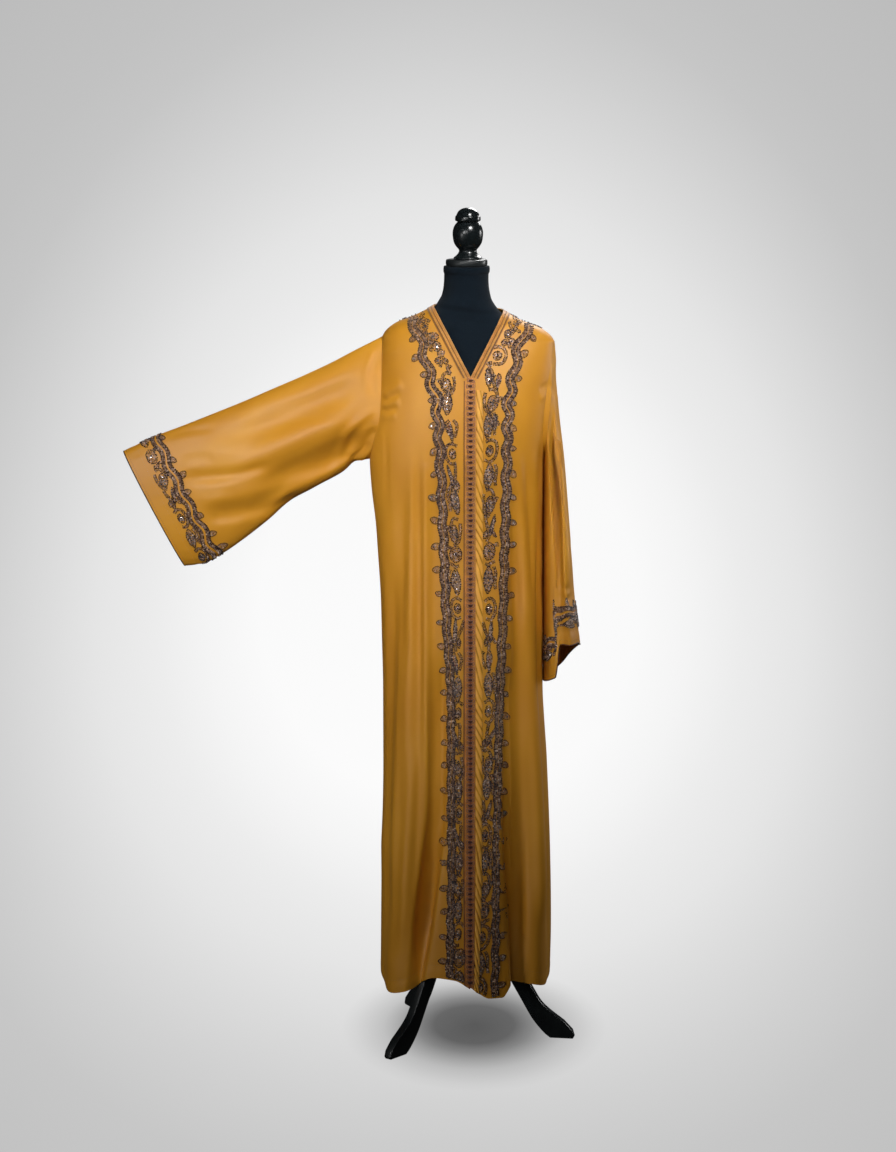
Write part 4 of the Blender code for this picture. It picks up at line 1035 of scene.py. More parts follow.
def shell(name, outer, inner, materials, round_about=False, place=None, sharp_angle=50):
    """A thin closed wall between two grids of points, its inner face in the second material."""
    rows, columns = outer.shape[:2]
    count = rows * columns
    points = np.concatenate([outer.reshape(-1, 3), inner.reshape(-1, 3)])
    skin = grid_faces(rows, columns, round_about)
    number = np.arange(count).reshape(rows, columns)
    rims = []
    edges = [number[0], number[-1][::-1]]
    if round_about:
        edges = [np.append(number[0], number[0, 0]), np.append(number[-1], number[-1, 0])[::-1]]
    else:
        edges += [number[::-1, 0], number[:, -1]]
    for edge in edges:
        a, b = edge[:-1], edge[1:]
        rims.append(np.stack([b, a, a + count, b + count], -1))
    rim = np.concatenate(rims)
    mesh = build_mesh(name, points, [skin, skin[:, ::-1] + count, rim])
    if len(materials) > 1:
        index = np.zeros(2 * len(skin) + len(rim), np.int32)
        index[len(skin) : 2 * len(skin)] = 1
        mesh.polygons.foreach_set("material_index", index)
    if place is not None:
        layer = mesh.uv_layers.new(name="cloth")
        both = np.concatenate([np.stack(place, -1).reshape(-1, 2)] * 2)
        corner = np.empty(len(mesh.loops), np.int32)
        mesh.loops.foreach_get("vertex_index", corner)
        layer.data.foreach_set("uv", both[corner].astype(np.float32).ravel())
    face_outwards(mesh)
    mesh.set_sharp_from_angle(angle=math.radians(sharp_angle))
    return link(name, mesh, *materials)


def face_outwards(mesh):
    shape = bmesh.new()
    shape.from_mesh(mesh)
    bmesh.ops.recalc_face_normals(shape, faces=shape.faces)
    shape.to_mesh(mesh)
    shape.free()


def sew(piece, slot, *nodes):
    """Puts a finished piece in the place of the frame's plain ones."""
    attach(piece, "root")
    if nodes:
        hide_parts(*nodes)
    return piece


def cloth_piece(name, sheet, thickness, materials, slot):
    inner = sheet.points - sheet.out * thickness
    piece = shell("satin_" + name, sheet.points, inner, materials, sheet.round_about, sheet.lengths(), 60)
    return sew(piece, slot, name)


def colour_property(name, description, default):
    return FloatVectorProperty(
        name=name, description=description, default=default, size=3, min=0, max=1, subtype="COLOR"
    )


def size_property(name, description, default, low, high):
    return FloatProperty(
        name=name, description=description, default=default, min=low, max=high, subtype="DISTANCE", unit="LENGTH"
    )


def power_property(name, place, default):
    return FloatProperty(
        name=name + " light", description="Power of the " + place, default=default, min=0, unit="POWER"
    )


class KaftanCloth(bpy.types.PropertyGroup):
    """Sizes and colours of the satin."""

    thickness: size_property("Thickness", "How thick the satin is drawn", 0.0011, 0.0006, 0.0018)
    light: colour_property("Light gold", "The satin where its tone is lightest", (0.66, 0.298, 0.019))
    deep: colour_property("Deep gold", "The satin where its tone is deepest", (0.53, 0.215, 0.010))
    roughness: FloatProperty(
        name="Roughness", description="How softly the satin shines", default=0.50, min=0.1, max=1, subtype="FACTOR"
    )


class KaftanTrims(bpy.types.PropertyGroup):
    """Sizes and colours of the beads and cords."""

    bead: size_property("Bead", "Width of the larger beads; the fine ones keep their share of it", 0.0036, 0.002, 0.005)
    knot: colour_property("Knots", "Silk cord of the knots and of the rolled cuffs", (0.088, 0.021, 0.010))
    loop: colour_property("Loops", "Silk cord of the loops behind the knots", (0.480, 0.200, 0.095))


class KaftanStand(bpy.types.PropertyGroup):
    """Colours and edges of the dress form and its stand."""

    jersey: colour_property("Jersey", "Knitted cover of the form", (0.0058, 0.0118, 0.0190))
    paint: colour_property("Paint", "Paint on the stand, the cap and the knob", (0.0085, 0.0120, 0.0130))
    rounding: size_property("Edge rounding", "How far the edges of the legs are rounded", 0.0040, 0.001, 0.008)


class KaftanStudio(bpy.types.PropertyGroup):
    """Light, backdrop and camera."""

    key_power: power_property("Key", "large light in front", 1.0)
    sleeve_power: power_property("Sleeve", "light on the wearer's right sleeve", 1.7)
    left_power: power_property("Left", "light on the wearer's left", 3.0)
    skirt_power: power_property("Skirt", "low light on the skirt", 2.4)
    back_power: power_property("Back", "light behind the form", 21.0)
    side_power: power_property("Side", "light behind the wearer's left side", 3.0)
    surround: FloatProperty(
        name="Surround", description="Strength of the light from all round", default=0.015, min=0, max=3
    )
    lens: FloatProperty(
        name="Lens", description="Focal length of the camera, in millimetres", default=99.7, min=20, max=300
    )


# Where each light hangs, what it faces, how wide it is and how far its beam spreads, in degrees
LIGHTS = {
    "key": ((-0.6, -3.4, 2.4), (-0.12, 0.0, 1.0), 0.9, 40),
    "sleeve": ((-1.5, -2.4, 2.0), (-0.52, 0.0, 1.30), 0.7, 34),
    "left": ((0.8, -1.6, 3.0), (0.12, 0.0, 1.50), 0.9, 30),
    "skirt": ((-2.6, -2.4, 1.2), (-0.1, 0.0, 0.46), 0.9, 52),
    "back": ((0.7, 2.3, 2.9), (0.0, 0.0, 0.9), 1.2, 120),
    "side": ((3.2, 1.3, 1.7), (0.1, 0.0, 0.8), 1.0, 50),
}


class KAFTAN_OT_stage(bpy.types.Operator):
    """Lay the floor and backdrop, and set the lights and the camera"""

    bl_idname = "kaftan.stage"
    bl_label = "Set the studio"

    def execute(self, context):
        studio = context.scene.kaftan_studio
        lay_backdrop()
        for name, (place, target, size, spread) in LIGHTS.items():
            hang_light(name + " light", place, target, size, getattr(studio, name + "_power"), spread)
        set_surround(context.scene, studio.surround)
        set_camera(context.scene, studio.lens)
        context.scene.view_settings.view_transform = "Standard"
        return {"FINISHED"}


BACKDROP_BEHIND = 2.6
BACKDROP_BEND = 1.6
BACKDROP_HEIGHT = 5.0
BACKDROP_HALF = 4.0
FLOOR_REACH = 30.0

# The painted light on the backdrop, a glow that the paper emits in place of a pool of lamp light: how bright it is at
# distances from the middle of its glow
PAINTED_GLOW_MIDDLE = (-0.04, 2.23, 0.575)
PAINTED_GLOW_REACH = 2.2
PAINTED_GLOW = rows_of("0 .955, .6 .945, .77 .895, .93 .83, 1.12 .775, 1.28 .705, 1.47 .625, 1.64 .562, 1.8 .535, 2.2 .5")

# The painted shadow on the floor under the hem: how much of the painted glow is left at shares of its radius
PAINTED_SHADOW_MIDDLE = (0.015, 0.06, 0.0)
PAINTED_SHADOW_RADII = (0.29, 0.46)
PAINTED_SHADOW = rows_of("0 .13, .3 .17, .44 .33, .56 .53, .69 .74, .9 .94, 1 1")


def lay_backdrop():
    """A floor all round, and behind the form a curved sheet of paper that can't be seen from its back."""
    bend = [
        (BACKDROP_BEHIND - BACKDROP_BEND + BACKDROP_BEND * math.sin(a), BACKDROP_BEND * (1 - math.cos(a)))
        for a in np.linspace(0, math.pi / 2, 25)
    ]
    floor = [(y, 0.0) for y in np.linspace(-FLOOR_REACH, FLOOR_REACH, 9)]
    for name, profile, half, one_sided in (
        ("floor", floor, FLOOR_REACH, False),
        ("backdrop", [*bend, (BACKDROP_BEHIND, BACKDROP_HEIGHT)], BACKDROP_HALF, True),
    ):
        points = np.array([[(x, y, z) for x in np.linspace(-half, half, 15)] for y, z in profile])
        mesh = build_mesh(name, points.reshape(-1, 3), [grid_faces(*points.shape[:2])])
        sheet = link(name, mesh, painted_light_paper("pale " + name, one_sided))
        sheet.visible_diffuse = sheet.visible_glossy = False


def painted_light_paper(name, one_sided):
    """Pale paper whose colour is painted light: it glows softly of its own in place of lamp light, with a painted
    shadow where the form stands.
    """
    made = Finish(name, Roughness=0.9, Specular_IOR_Level=0.0)
    made.set("Base Color", (0.03, 0.03, 0.03))
    where = made.objects_place()
    middle = tuple(Vector(PAINTED_GLOW_MIDDLE) + Vector(SHIFT))
    away = made.node("VectorMath", {0: where, 1: middle}, operation="SUBTRACT").outputs["Vector"]
    up = made.node("VectorMath", {0: away, 1: (0.0, 0.348, 0.87)}, operation="DOT_PRODUCT").outputs["Value"]
    up, across = Value(made, up), made.apart(away)[0] * 1.12
    distance = made.math("SQRT", up * up + across * across)
    # Painted light: the glow that the paper emits, brightest at its middle and fading outwards
    glow = made.ramp(distance / PAINTED_GLOW_REACH, [(d / PAINTED_GLOW_REACH, (v,) * 3) for d, v in PAINTED_GLOW])
    # A painted shadow: a soft dark patch round the stand's foot, multiplied into the painted glow
    foot = tuple(Vector(PAINTED_SHADOW_MIDDLE) + Vector(SHIFT))
    gap = made.node("VectorMath", {0: where, 1: foot}, operation="SUBTRACT").outputs["Vector"]
    flat = made.stretched(gap, (1 / PAINTED_SHADOW_RADII[0], 1 / PAINTED_SHADOW_RADII[1], 1.0))
    reach = made.node("VectorMath", {0: flat}, operation="LENGTH").outputs["Value"]
    shade = made.ramp(reach, [(d, (v,) * 3) for d, v in PAINTED_SHADOW])
    painted_glow_and_shadow = made.node("VectorMath", {0: glow, 1: shade}, operation="MULTIPLY").outputs["Vector"]
    made.set("Emission Color", painted_glow_and_shadow)
    made.set("Emission Strength", 1.0)
    if one_sided:
        clear = made.node("BsdfTransparent").outputs["BSDF"]
        behind = made.node("NewGeometry").outputs["Backfacing"]
        both = made.node("MixShader", {0: behind, 1: made.shader.outputs["BSDF"], 2: clear})
        made.feed(made.tree.nodes["Material Output"].inputs["Surface"], both.outputs["Shader"])
    return made.material


def hang_light(name, place, target, size, power, spread):
    lamp = bpy.data.lights.new(name, "AREA")
    lamp.size = size
    lamp.energy = power
    lamp.spread = math.radians(spread)
    holder = bpy.data.objects.new(name, lamp)
    bpy.context.scene.collection.objects.link(holder)
    holder.visible_camera = False
    holder.location = Vector(place) + Vector(SHIFT)
    aim = Vector(target) - Vector(place)
    holder.rotation_euler = aim.to_track_quat("-Z", "Y").to_euler()


def set_surround(scene, strength):
    """A faint light from all round, and a pale wall far behind everything."""
    world = bpy.data.worlds.new("studio air")
    world.use_nodes = True
    nodes, links = world.node_tree.nodes, world.node_tree.links
    air, wall = nodes["Background"], nodes.new("ShaderNodeBackground")
    air.inputs["Color"].default_value = (1.0, 0.99, 0.97, 1.0)
    air.inputs["Strength"].default_value = strength
    wall.inputs["Color"].default_value = (*(PAINTED_GLOW[-1][1],) * 3, 1.0)
    both, path = nodes.new("ShaderNodeMixShader"), nodes.new("ShaderNodeLightPath")
    links.new(path.outputs["Is Camera Ray"], both.inputs[0])
    links.new(air.outputs[0], both.inputs[1])
    links.new(wall.outputs[0], both.inputs[2])
    links.new(both.outputs[0], nodes["World Output"].inputs["Surface"])
    scene.world = world


CAMERA_PLACE = (-0.043, -6.70, 2.10)
CAMERA_PITCH = 9.26


def set_camera(scene, lens):
    eye = bpy.data.cameras.new("camera")
    eye.lens = lens
    eye.sensor_width = 36
    eye.clip_end = 60
    holder = bpy.data.objects.new("camera", eye)
    scene.collection.objects.link(holder)
    holder.location = Vector(CAMERA_PLACE) + Vector(SHIFT)
    holder.rotation_euler = (math.radians(90 - CAMERA_PITCH), 0, 0)
    scene.camera = holder


def satins(context):
    cloth = context.scene.kaftan_cloth
    right = finish_for("gold satin", satin_finish, tuple(cloth.light), tuple(cloth.deep), cloth.roughness)
    return right, finish_for("satin wrong side", satin_finish, (0.50, 0.21, 0.020), (0.42, 0.17, 0.014), 0.7)


def hang(context, *names):
    """Hangs pieces of the kaftan and works out the flat size that each was cut to."""
    for name in names:
        sheet = kaftan_cloth()[name]
        piece = cloth_piece(name, sheet, context.scene.kaftan_cloth.thickness, satins(context), "gold_satin")
        declare(piece, sheet)
    return {"FINISHED"}


class KAFTAN_OT_panels(bpy.types.Operator):
    """Hang the two fronts and the back"""

    bl_idname = "kaftan.panels"
    bl_label = "Hang the fronts and the back"

    def execute(self, context):
        return hang(context, "front_right", "front_left", "back")


def declare(piece, sheet):
    """Works out the flat size that a sheet was cut to; nothing is done with it."""
    v = sheet.lengths()[1]
    points = sheet.points
    if sheet.round_about:
        points = np.concatenate([points, points[:, :1]], axis=1)
    a, b = np.diff(points, axis=0)[:, :-1], np.diff(points, axis=1)[:-1]
    area = float(np.linalg.norm(np.cross(a, b), axis=-1).sum())
    around = np.linalg.norm(np.diff(points, axis=1), axis=2).sum(axis=1).max()


class KAFTAN_OT_sleeves(bpy.types.Operator):
    """Set in the two wide sleeves"""

    bl_idname = "kaftan.sleeves"
    bl_label = "Set in the sleeves"

    def execute(self, context):
        return hang(context, "sleeve_right", "sleeve_left")


def satin_cord_finish(name, light, deep, roughness=0.5):
    """Twisted silk cord and flat braid: fine slanting threads, with painted shade between them, and slow patches of
    tone.
    """
    made = Finish(name, Roughness=roughness, Sheen_Weight=0.3, Sheen_Roughness=0.4, Specular_IOR_Level=0.35)
    where = made.objects_place()
    wave = {"Vector": made.stretched(where, (1.0, 1.0, 1.3)), "Scale": 260.0, "Distortion": 3.0, "Detail Scale": 4.0}
    twist = Value(made, made.node("TexWave", wave, wave_profile="SIN").outputs["Fac"])
    threads = made.noise(where, 900.0, 2.0, 0.6)
    patches = made.noise(where, 60.0, 2.0, 0.6)
    # The twist's half of the tone is painted shade: darker between the threads, where the bump sinks; the patches are
    # the cord's own tone
    tone = twist * 0.5 + patches * 0.5
    made.set("Base Color", made.blend(made.spread(tone, 0.25, 0.75), deep, light))
    made.raise_by(twist + threads, 0.00025, 0.8)
    return made.material


def flat_braid_finish(name, stripes, upper=None):
    """A woven braid with stripes along it and a slanting rib; its cloth place is set in metres. Its colour has
    painted shade in the troughs between the ribs, and its stripes may turn lighter higher up."""
    made = Finish(name, Roughness=0.5, Sheen_Weight=0.3, Sheen_Roughness=0.4, Specular_IOR_Level=0.35)
    across, run, _ = made.apart(made.cloth_place())
    width = stripes[-1][0]
    share = across / width
    colour = made.ramp(share, [(place / width, tone) for place, *tone in stripes])
    # Higher up, the stripes blend into a lighter set of the same colours
    if upper is not None:
        higher = made.ramp(share, [(place / width, tone) for place, *tone in upper])
        height = made.spread(made.apart(made.objects_place())[2], 0.88, 1.16)
        colour = made.blend(height, colour, higher)
    slant = made.math("PINGPONG", across, 0.0021) * 1.3
    rib = made.math("SINE", (run + slant) * 4200.0)
    grain = made.noise(made.objects_place(), 700.0, 2.0, 0.6)
    worn = made.noise(made.objects_place(), 45.0, 3.0, 0.6)
    # The rib's share of the tone is painted shade, darker in the troughs between the ribs; the grain and worn patches
    # are the braid's own tone
    tone = made.spread(rib * 0.10 + (grain + worn * 0.8), 0.55, 1.25, 0.62, 1.22)
    made.set("Base Color", made.node("VectorMath", {0: colour, "Scale": tone}, operation="SCALE").outputs["Vector"])
    made.raise_by(rib * 0.4 + grain, 0.00025, 0.7)
    return made.material


def puckered_finish(name, light):
    """Satin drawn up in slanting puffs, fuller on each puff; its colour has a painted highlight on each puff and
    painted shade in the creases between.
    """
    made = Finish(name, Roughness=0.42, Sheen_Weight=0.10, Sheen_Roughness=0.45)
    across, height, _ = made.apart(made.cloth_place())
    slow, quick = (made.math("SINE", height / length) * size for size, length in FACING_WANDER)
    turns = height / FACING_PITCH + across * FACING_SLANT + (slow + quick)
    puff = made.math("ABSOLUTE", made.math("SINE", turns * math.pi))
    grain = made.noise(made.objects_place(), 420.0, 3.0, 0.6)
    worn = made.noise(made.objects_place(), 38.0, 2.0, 0.5)
    tone = puff + (grain * 0.35 + (worn - 0.42))
    # Painted shade for the creases and a painted highlight for the puffs: darker and lighter copies of the satin's own
    # colour
    crease = tuple(part * share for part, share in zip(light, (0.42, 0.32, 0.24)))
    painted_puff_highlight = tuple(min(1.0, part * share) for part, share in zip(light, (1.22, 1.36, 3.4)))
    made.set("Base Color", made.ramp(made.spread(tone, 0.05, 1.20), [(0.0, crease), (0.42, light), (1.0, painted_puff_highlight)]))
    made.raise_by(grain + made.noise(made.objects_place(), 1500.0, 2.0, 0.6), 0.00015, 0.5)
    return made.material


def glass_bead_finish(name, colours, roughness, metallic):
    """Small glass beads, each a little different in colour, with a bright lustre."""
    made = Finish(name, Roughness=roughness, Metallic=metallic, Coat_Weight=0.5, Coat_Roughness=0.08)
    made.set("Specular IOR Level", 0.6)
    spots = [(k / (len(colours) - 1), colour) for k, colour in enumerate(colours)]
    own = made.ramp(made.each_piece(), spots)
    mottle = made.noise(made.objects_place(), 1400.0, 1.0, 0.5)
    tone = made.spread(mottle, 0.2, 0.8, 0.7, 1.3)
    made.set("Base Color", made.node("VectorMath", {0: own, "Scale": tone}, operation="SCALE").outputs["Vector"])
    made.raise_by(mottle, 0.0001, 0.4)
    return made.material


def thread_finish(name, light, deep):
    made = Finish(name, Roughness=0.7, Sheen_Weight=0.2)
    strands = made.noise(made.objects_place(), 2200.0, 2.0, 0.6)
    made.set("Base Color", made.blend(made.spread(strands, 0.3, 0.7), deep, light))
    made.raise_by(strands, 0.0001, 0.6)
    return made.material


def jersey_finish(name, light, deep):
    """Fine knitted jersey, stretched over the form."""
    made = Finish(name, Roughness=0.92, Sheen_Weight=0.04, Sheen_Roughness=0.6, Specular_IOR_Level=0.08)
    where = made.objects_place()
    ribs = made.node("TexWave", {"Vector": made.stretched(where, (1.0, 1.0, 0.4)), "Scale": 330.0, "Distortion": 2.5})
    fluff = made.noise(where, 420.0, 3.0, 0.6)
    slow = made.noise(where, 9.0, 3.0, 0.6)
    tone = fluff * 0.5 + slow * 0.5
    made.set("Base Color", made.blend(made.spread(tone, 0.3, 0.7), deep, light))
    made.raise_by(Value(made, ribs.outputs["Fac"]) + fluff, 0.0003, 0.5)
    return made.material


def painted_wood_finish(name, roughness, turned_rings, light, deep):
    """Black paint on wood, with a faint grain under it and slightly duller where it is handled."""
    made = Finish(name, Coat_Weight=0.35, Coat_Roughness=0.18, Specular_IOR_Level=0.5)
    where = made.objects_place()
    lie = (60.0, 60.0, 300.0) if turned_rings else (70.0, 70.0, 25.0)
    grain = made.noise(made.stretched(where, lie), 1.0, 4.0, 0.6)
    handled = made.noise(where, 14.0, 4.0, 0.65)
    chips = made.noise(where, 240.0, 4.0, 0.7)
    worn = made.spread(chips, 0.66, 0.74) * made.spread(handled, 0.5, 0.7)
    paint = made.blend(made.spread(grain, 0.3, 0.7), deep, light)
    made.set("Base Color", made.blend(worn, paint, (0.030, 0.028, 0.025)))
    made.set("Roughness", made.spread(handled, 0.3, 0.7, roughness - 0.05, roughness + 0.12))
    made.raise_by(grain + chips * 0.4, 0.0003, 0.25)
    return made.material


def two_shades(colour, share=0.58):
    """A colour and its deeper shade."""
    return tuple(colour), tuple(share * part for part in colour)


def finish_for(name, make, *values):
    """The finish of this name, made the first time that it is asked for."""
    return bpy.data.materials.get(name) or make(name, *values)


GOLD_THREAD = ("gold thread", thread_finish, (0.50, 0.26, 0.05), (0.36, 0.17, 0.03))
RUST_THREAD = ("rust thread", thread_finish, (0.16, 0.050, 0.020), (0.09, 0.026, 0.012))


def cord_for(name, colour):
    """The finish of a silk cord of one colour, with painted shade between its threads."""
    return finish_for(name, satin_cord_finish, *two_shades(colour, 0.38))


BEAD_FINISHES = (
    (
        "dark beads",
        glass_bead_finish,
        ((0.024, 0.011, 0.009), (0.050, 0.024, 0.020), (0.030, 0.014, 0.013), (0.090, 0.050, 0.038)),
        0.24,
        0.0,
    ),
    (
        "plum beads",
        glass_bead_finish,
        ((0.075, 0.036, 0.024), (0.27, 0.150, 0.092), (0.52, 0.340, 0.225), (0.15, 0.076, 0.050), (0.78, 0.570, 0.420)),
        0.24,
        0.1,
    ),
    ("clear stones", glass_bead_finish, ((0.70, 0.62, 0.58), (0.92, 0.88, 0.86), (0.80, 0.66, 0.60)), 0.10, 0.75),
    ("pale sequins", glass_bead_finish, ((0.70, 0.52, 0.42), (0.86, 0.74, 0.68), (0.62, 0.42, 0.30)), 0.18, 0.85),
    ("red beads", glass_bead_finish, ((0.22, 0.030, 0.022), (0.34, 0.075, 0.045)), 0.20, 0.2),
)
DARK, PLUM, STONE, SEQUIN, RED = range(5)


def ribbon(name, points, ways, rise, gap, materials, slot, nodes=(), across=None):
    """A flat trim on cloth, its upper side raised by a table of rises; it hides the plain solids named."""
    if across is None:
        across = distances_along(points[len(points) // 2])
    across = np.broadcast_to(across, points.shape[:2])
    run = np.broadcast_to(distances_along(points[:, 0])[:, None], points.shape[:2])
    outer = points + ways * (gap + np.asarray(rise))[..., None]
    piece = shell(name, outer, points + ways * gap, materials, False, (across, run), 45)
    return sew(piece, slot, *nodes)


def ribs_across(distances, marks, height, base):
    """Round-topped ribs between marks across a braid."""
    rise = np.full(distances.shape, base)
    for low, high in zip(marks, marks[1:]):
        t = np.clip((distances - low) / (high - low), 0, 1)
        rise = np.maximum(rise, base + height * np.sqrt(np.maximum(0, 1 - (2 * t - 1) ** 2)) * (t > 0) * (t < 1))
    return rise


NECK_STRIPES = rows_of("""0 .68 .33 .08, .0018 .6 .25 .05, .003 .5 .205 .035, .0058 .54 .225 .036, .0068 .06 .02 .01,
    .008 .5 .22 .036, .0116 .6 .265 .04, .0132 .075 .024 .01, .0162 .5 .21 .03""")
NECK_RIBS = (0.0, 0.0026, 0.0072, 0.0084, 0.0136, 0.0162)
EDGE_STRIPES = rows_of(
    "0 .52 .19 .042, .003 .6 .24 .046, .0052 .46 .165 .034, .0064 .085 .026 .012, .0078 .28 .105 .024")
UPPER_EDGE_STRIPES = rows_of(
    "0 .6 .27 .05, .003 .66 .3 .05, .0052 .56 .23 .036, .0064 .105 .034 .012, .0078 .4 .16 .026")
KNOT_GROUND = rows_of("0 .62 .25 .06, .0022 .42 .135 .04, .0056 .22 .06 .022, .009 .42 .135 .04, .0112 .62 .26 .06")
UPPER_KNOT_GROUND = rows_of(
    "0 .62 .27 .06, .0022 .66 .28 .056, .0056 .5 .19 .046, .009 .66 .28 .056, .0112 .62 .27 .06")


class KAFTAN_OT_braids(bpy.types.Operator):
    """Sew the flat braid round the neck and down both front edges"""

    bl_idname = "kaftan.braids"
    bl_label = "Sew on the braids"

    def execute(self, context):
        cloth = kaftan_cloth()
        self.round_the_neck(cloth)
        rows = np.arange(0, V_ROW, 1.0)
        for name, low, high, ribs in (("right", 0.0067, 0.0146, 3), ("left", 0.0067, 0.0102, 1)):
            distances = np.linspace(low, high, 10)
            points, ways = cloth["front_" + name].across_rows(rows, distances)
            rise = ribs_across(distances, np.linspace(low, high, ribs + 1), 0.0009, 0.0006)
            finish = finish_for("edge braid", flat_braid_finish, EDGE_STRIPES, UPPER_EDGE_STRIPES)
            node = ("edge_braid_" + name,)
            ribbon("braid_" + name, points, ways, rise, 0.0004, (finish,), "flat_braid", node, distances - low)
        self.facing(cloth["front_left"], context)
        return {"FINISHED"}

    def facing(self, sheet, context):
        """The puckered strip of satin beside the knots."""
        share = np.linspace(0, 1, 10)
        rows = np.arange(0, V_ROW - 4, 0.44)
        points, ways = sheet.across_rows(rows, mix(FACING_INNER, FACING_OUTER, share))
        rise = facing_rise(distances_along(points[:, 0])[:, None], share[None])
        finish = finish_for("puckered satin", puckered_finish, tuple(context.scene.kaftan_cloth.light))
        ribbon("puckered_facing", points, ways, rise, 0.0003, (finish,), "gold_satin", (), share)

    def round_the_neck(self, cloth):
        distances = np.linspace(0, NECK_BRAID, 19)
        rows = np.arange(V_ROW, TOP_ROW + 0.01, 0.5)
        right = cloth["front_right"].across_rows(rows, distances)
        left = cloth["front_left"].across_rows(rows, distances)
        back = cloth["back"]
        first, last = BACK_COLUMNS[0], BACK_COLUMNS[0] + BACK_COLUMNS[1]
        behind = ([], [])
        for column in range(first, last + 1):
            line = back.points[TOP_ROW - 22 :, column][::-1]
            steps = np.interp(distances * BRAID_COLUMN / NECK_BRAID, distances_along(line), np.arange(len(line)))
            found = back.at(TOP_ROW - steps, np.full(len(steps), float(column)))
            for held, part in zip(behind, found):
                held.append(part)
        points = np.concatenate([right[0], behind[0], left[0][::-1]])
        ways = np.concatenate([right[1], behind[1], left[1][::-1]])
        rise = ribs_across(distances, NECK_RIBS, 0.0008, 0.0007)
        finish = finish_for("neck braid", flat_braid_finish, NECK_STRIPES)
        ribbon("braid_neck", points, ways, rise, 0.0006, (finish,), "flat_braid", ("neck_braid",), distances)


def stacked_rings(count, sides):
    """The faces of a closed form made of rings, one above the other."""
    ends = np.stack([np.arange(sides)[::-1], np.arange(sides) + (count - 1) * sides])
    return [grid_faces(count, sides, True), ends]


def tube(path, radius, sides, closed=False):
    """Points and quads of a round cord along a path."""
    path = np.asarray(path, float)
    run = np.roll(path, -1, 0) - np.roll(path, 1, 0) if closed else np.gradient(path, axis=0)
    run = unit(run)
    turn = np.zeros(path.shape)
    turn[0] = unit(np.cross(run[0], (0.31, 0.52, 0.79)))
    for i in range(1, len(path)):
        turn[i] = unit(turn[i - 1] - run[i] * (turn[i - 1] @ run[i]))
    other = np.cross(run, turn)
    angle = 2 * np.pi * np.arange(sides) / sides
    ring = turn[:, None] * np.cos(angle)[None, :, None] + other[:, None] * np.sin(angle)[None, :, None]
    points = (path[:, None] + ring * np.broadcast_to(radius, len(path))[:, None, None]).reshape(-1, 3)
    faces = stacked_rings(len(path), sides)
    if closed:
        last = (len(path) - 1) * sides
        shift = min(range(sides), key=lambda k: np.linalg.norm(points[last] - points[k]))
        j = np.arange(sides)
        joined = (last + j, last + (j + 1) % sides, (j + 1 + shift) % sides, (j + shift) % sides)
        return points, [np.concatenate([faces[0], np.stack(joined, -1)])]
    return points, faces


def cord_piece(name, parts, finish, *nodes):
    """Cords, each given by its points and faces, joined into one piece."""
    points, faces, offset = [], {}, 0
    for own, sets in parts:
        points.append(own)
        for found in sets:
            faces.setdefault(found.shape[1], []).append(found + offset)
        offset += len(own)
    mesh = build_mesh(name, np.concatenate(points), [np.concatenate(found) for found in faces.values()])
    return sew(link(name, mesh, finish), "rust_cord", *nodes)


KNOT_REACH = 0.0078


def knot_heights(cloth):
    low = max(cloth["front_right"].points[0, 0, 2], cloth["front_left"].points[0, 0, 2]) + KNOT_PITCH / 2
    count = int((V_POINT - low) / KNOT_PITCH)
    return low + KNOT_PITCH * (np.arange(count) + 0.5)


def front_edge(cloth, heights):
    """The middle of the closed front at these heights, and the way out of it."""
    right, left = cloth["front_right"], cloth["front_left"]
    found = []
    for sheet in (right, left):
        line = sheet.points[: V_ROW + 1, 0]
        found.append(np.interp(heights, line[:, 2], line[:, 1]))
    depth = np.minimum(*found)
    slope = np.gradient(depth, heights)
    ways = unit(np.stack([np.zeros(len(heights)), -np.ones(len(heights)), slope], -1))
    return np.stack([np.full(len(heights), FRONT_LINE), depth, heights], -1), ways


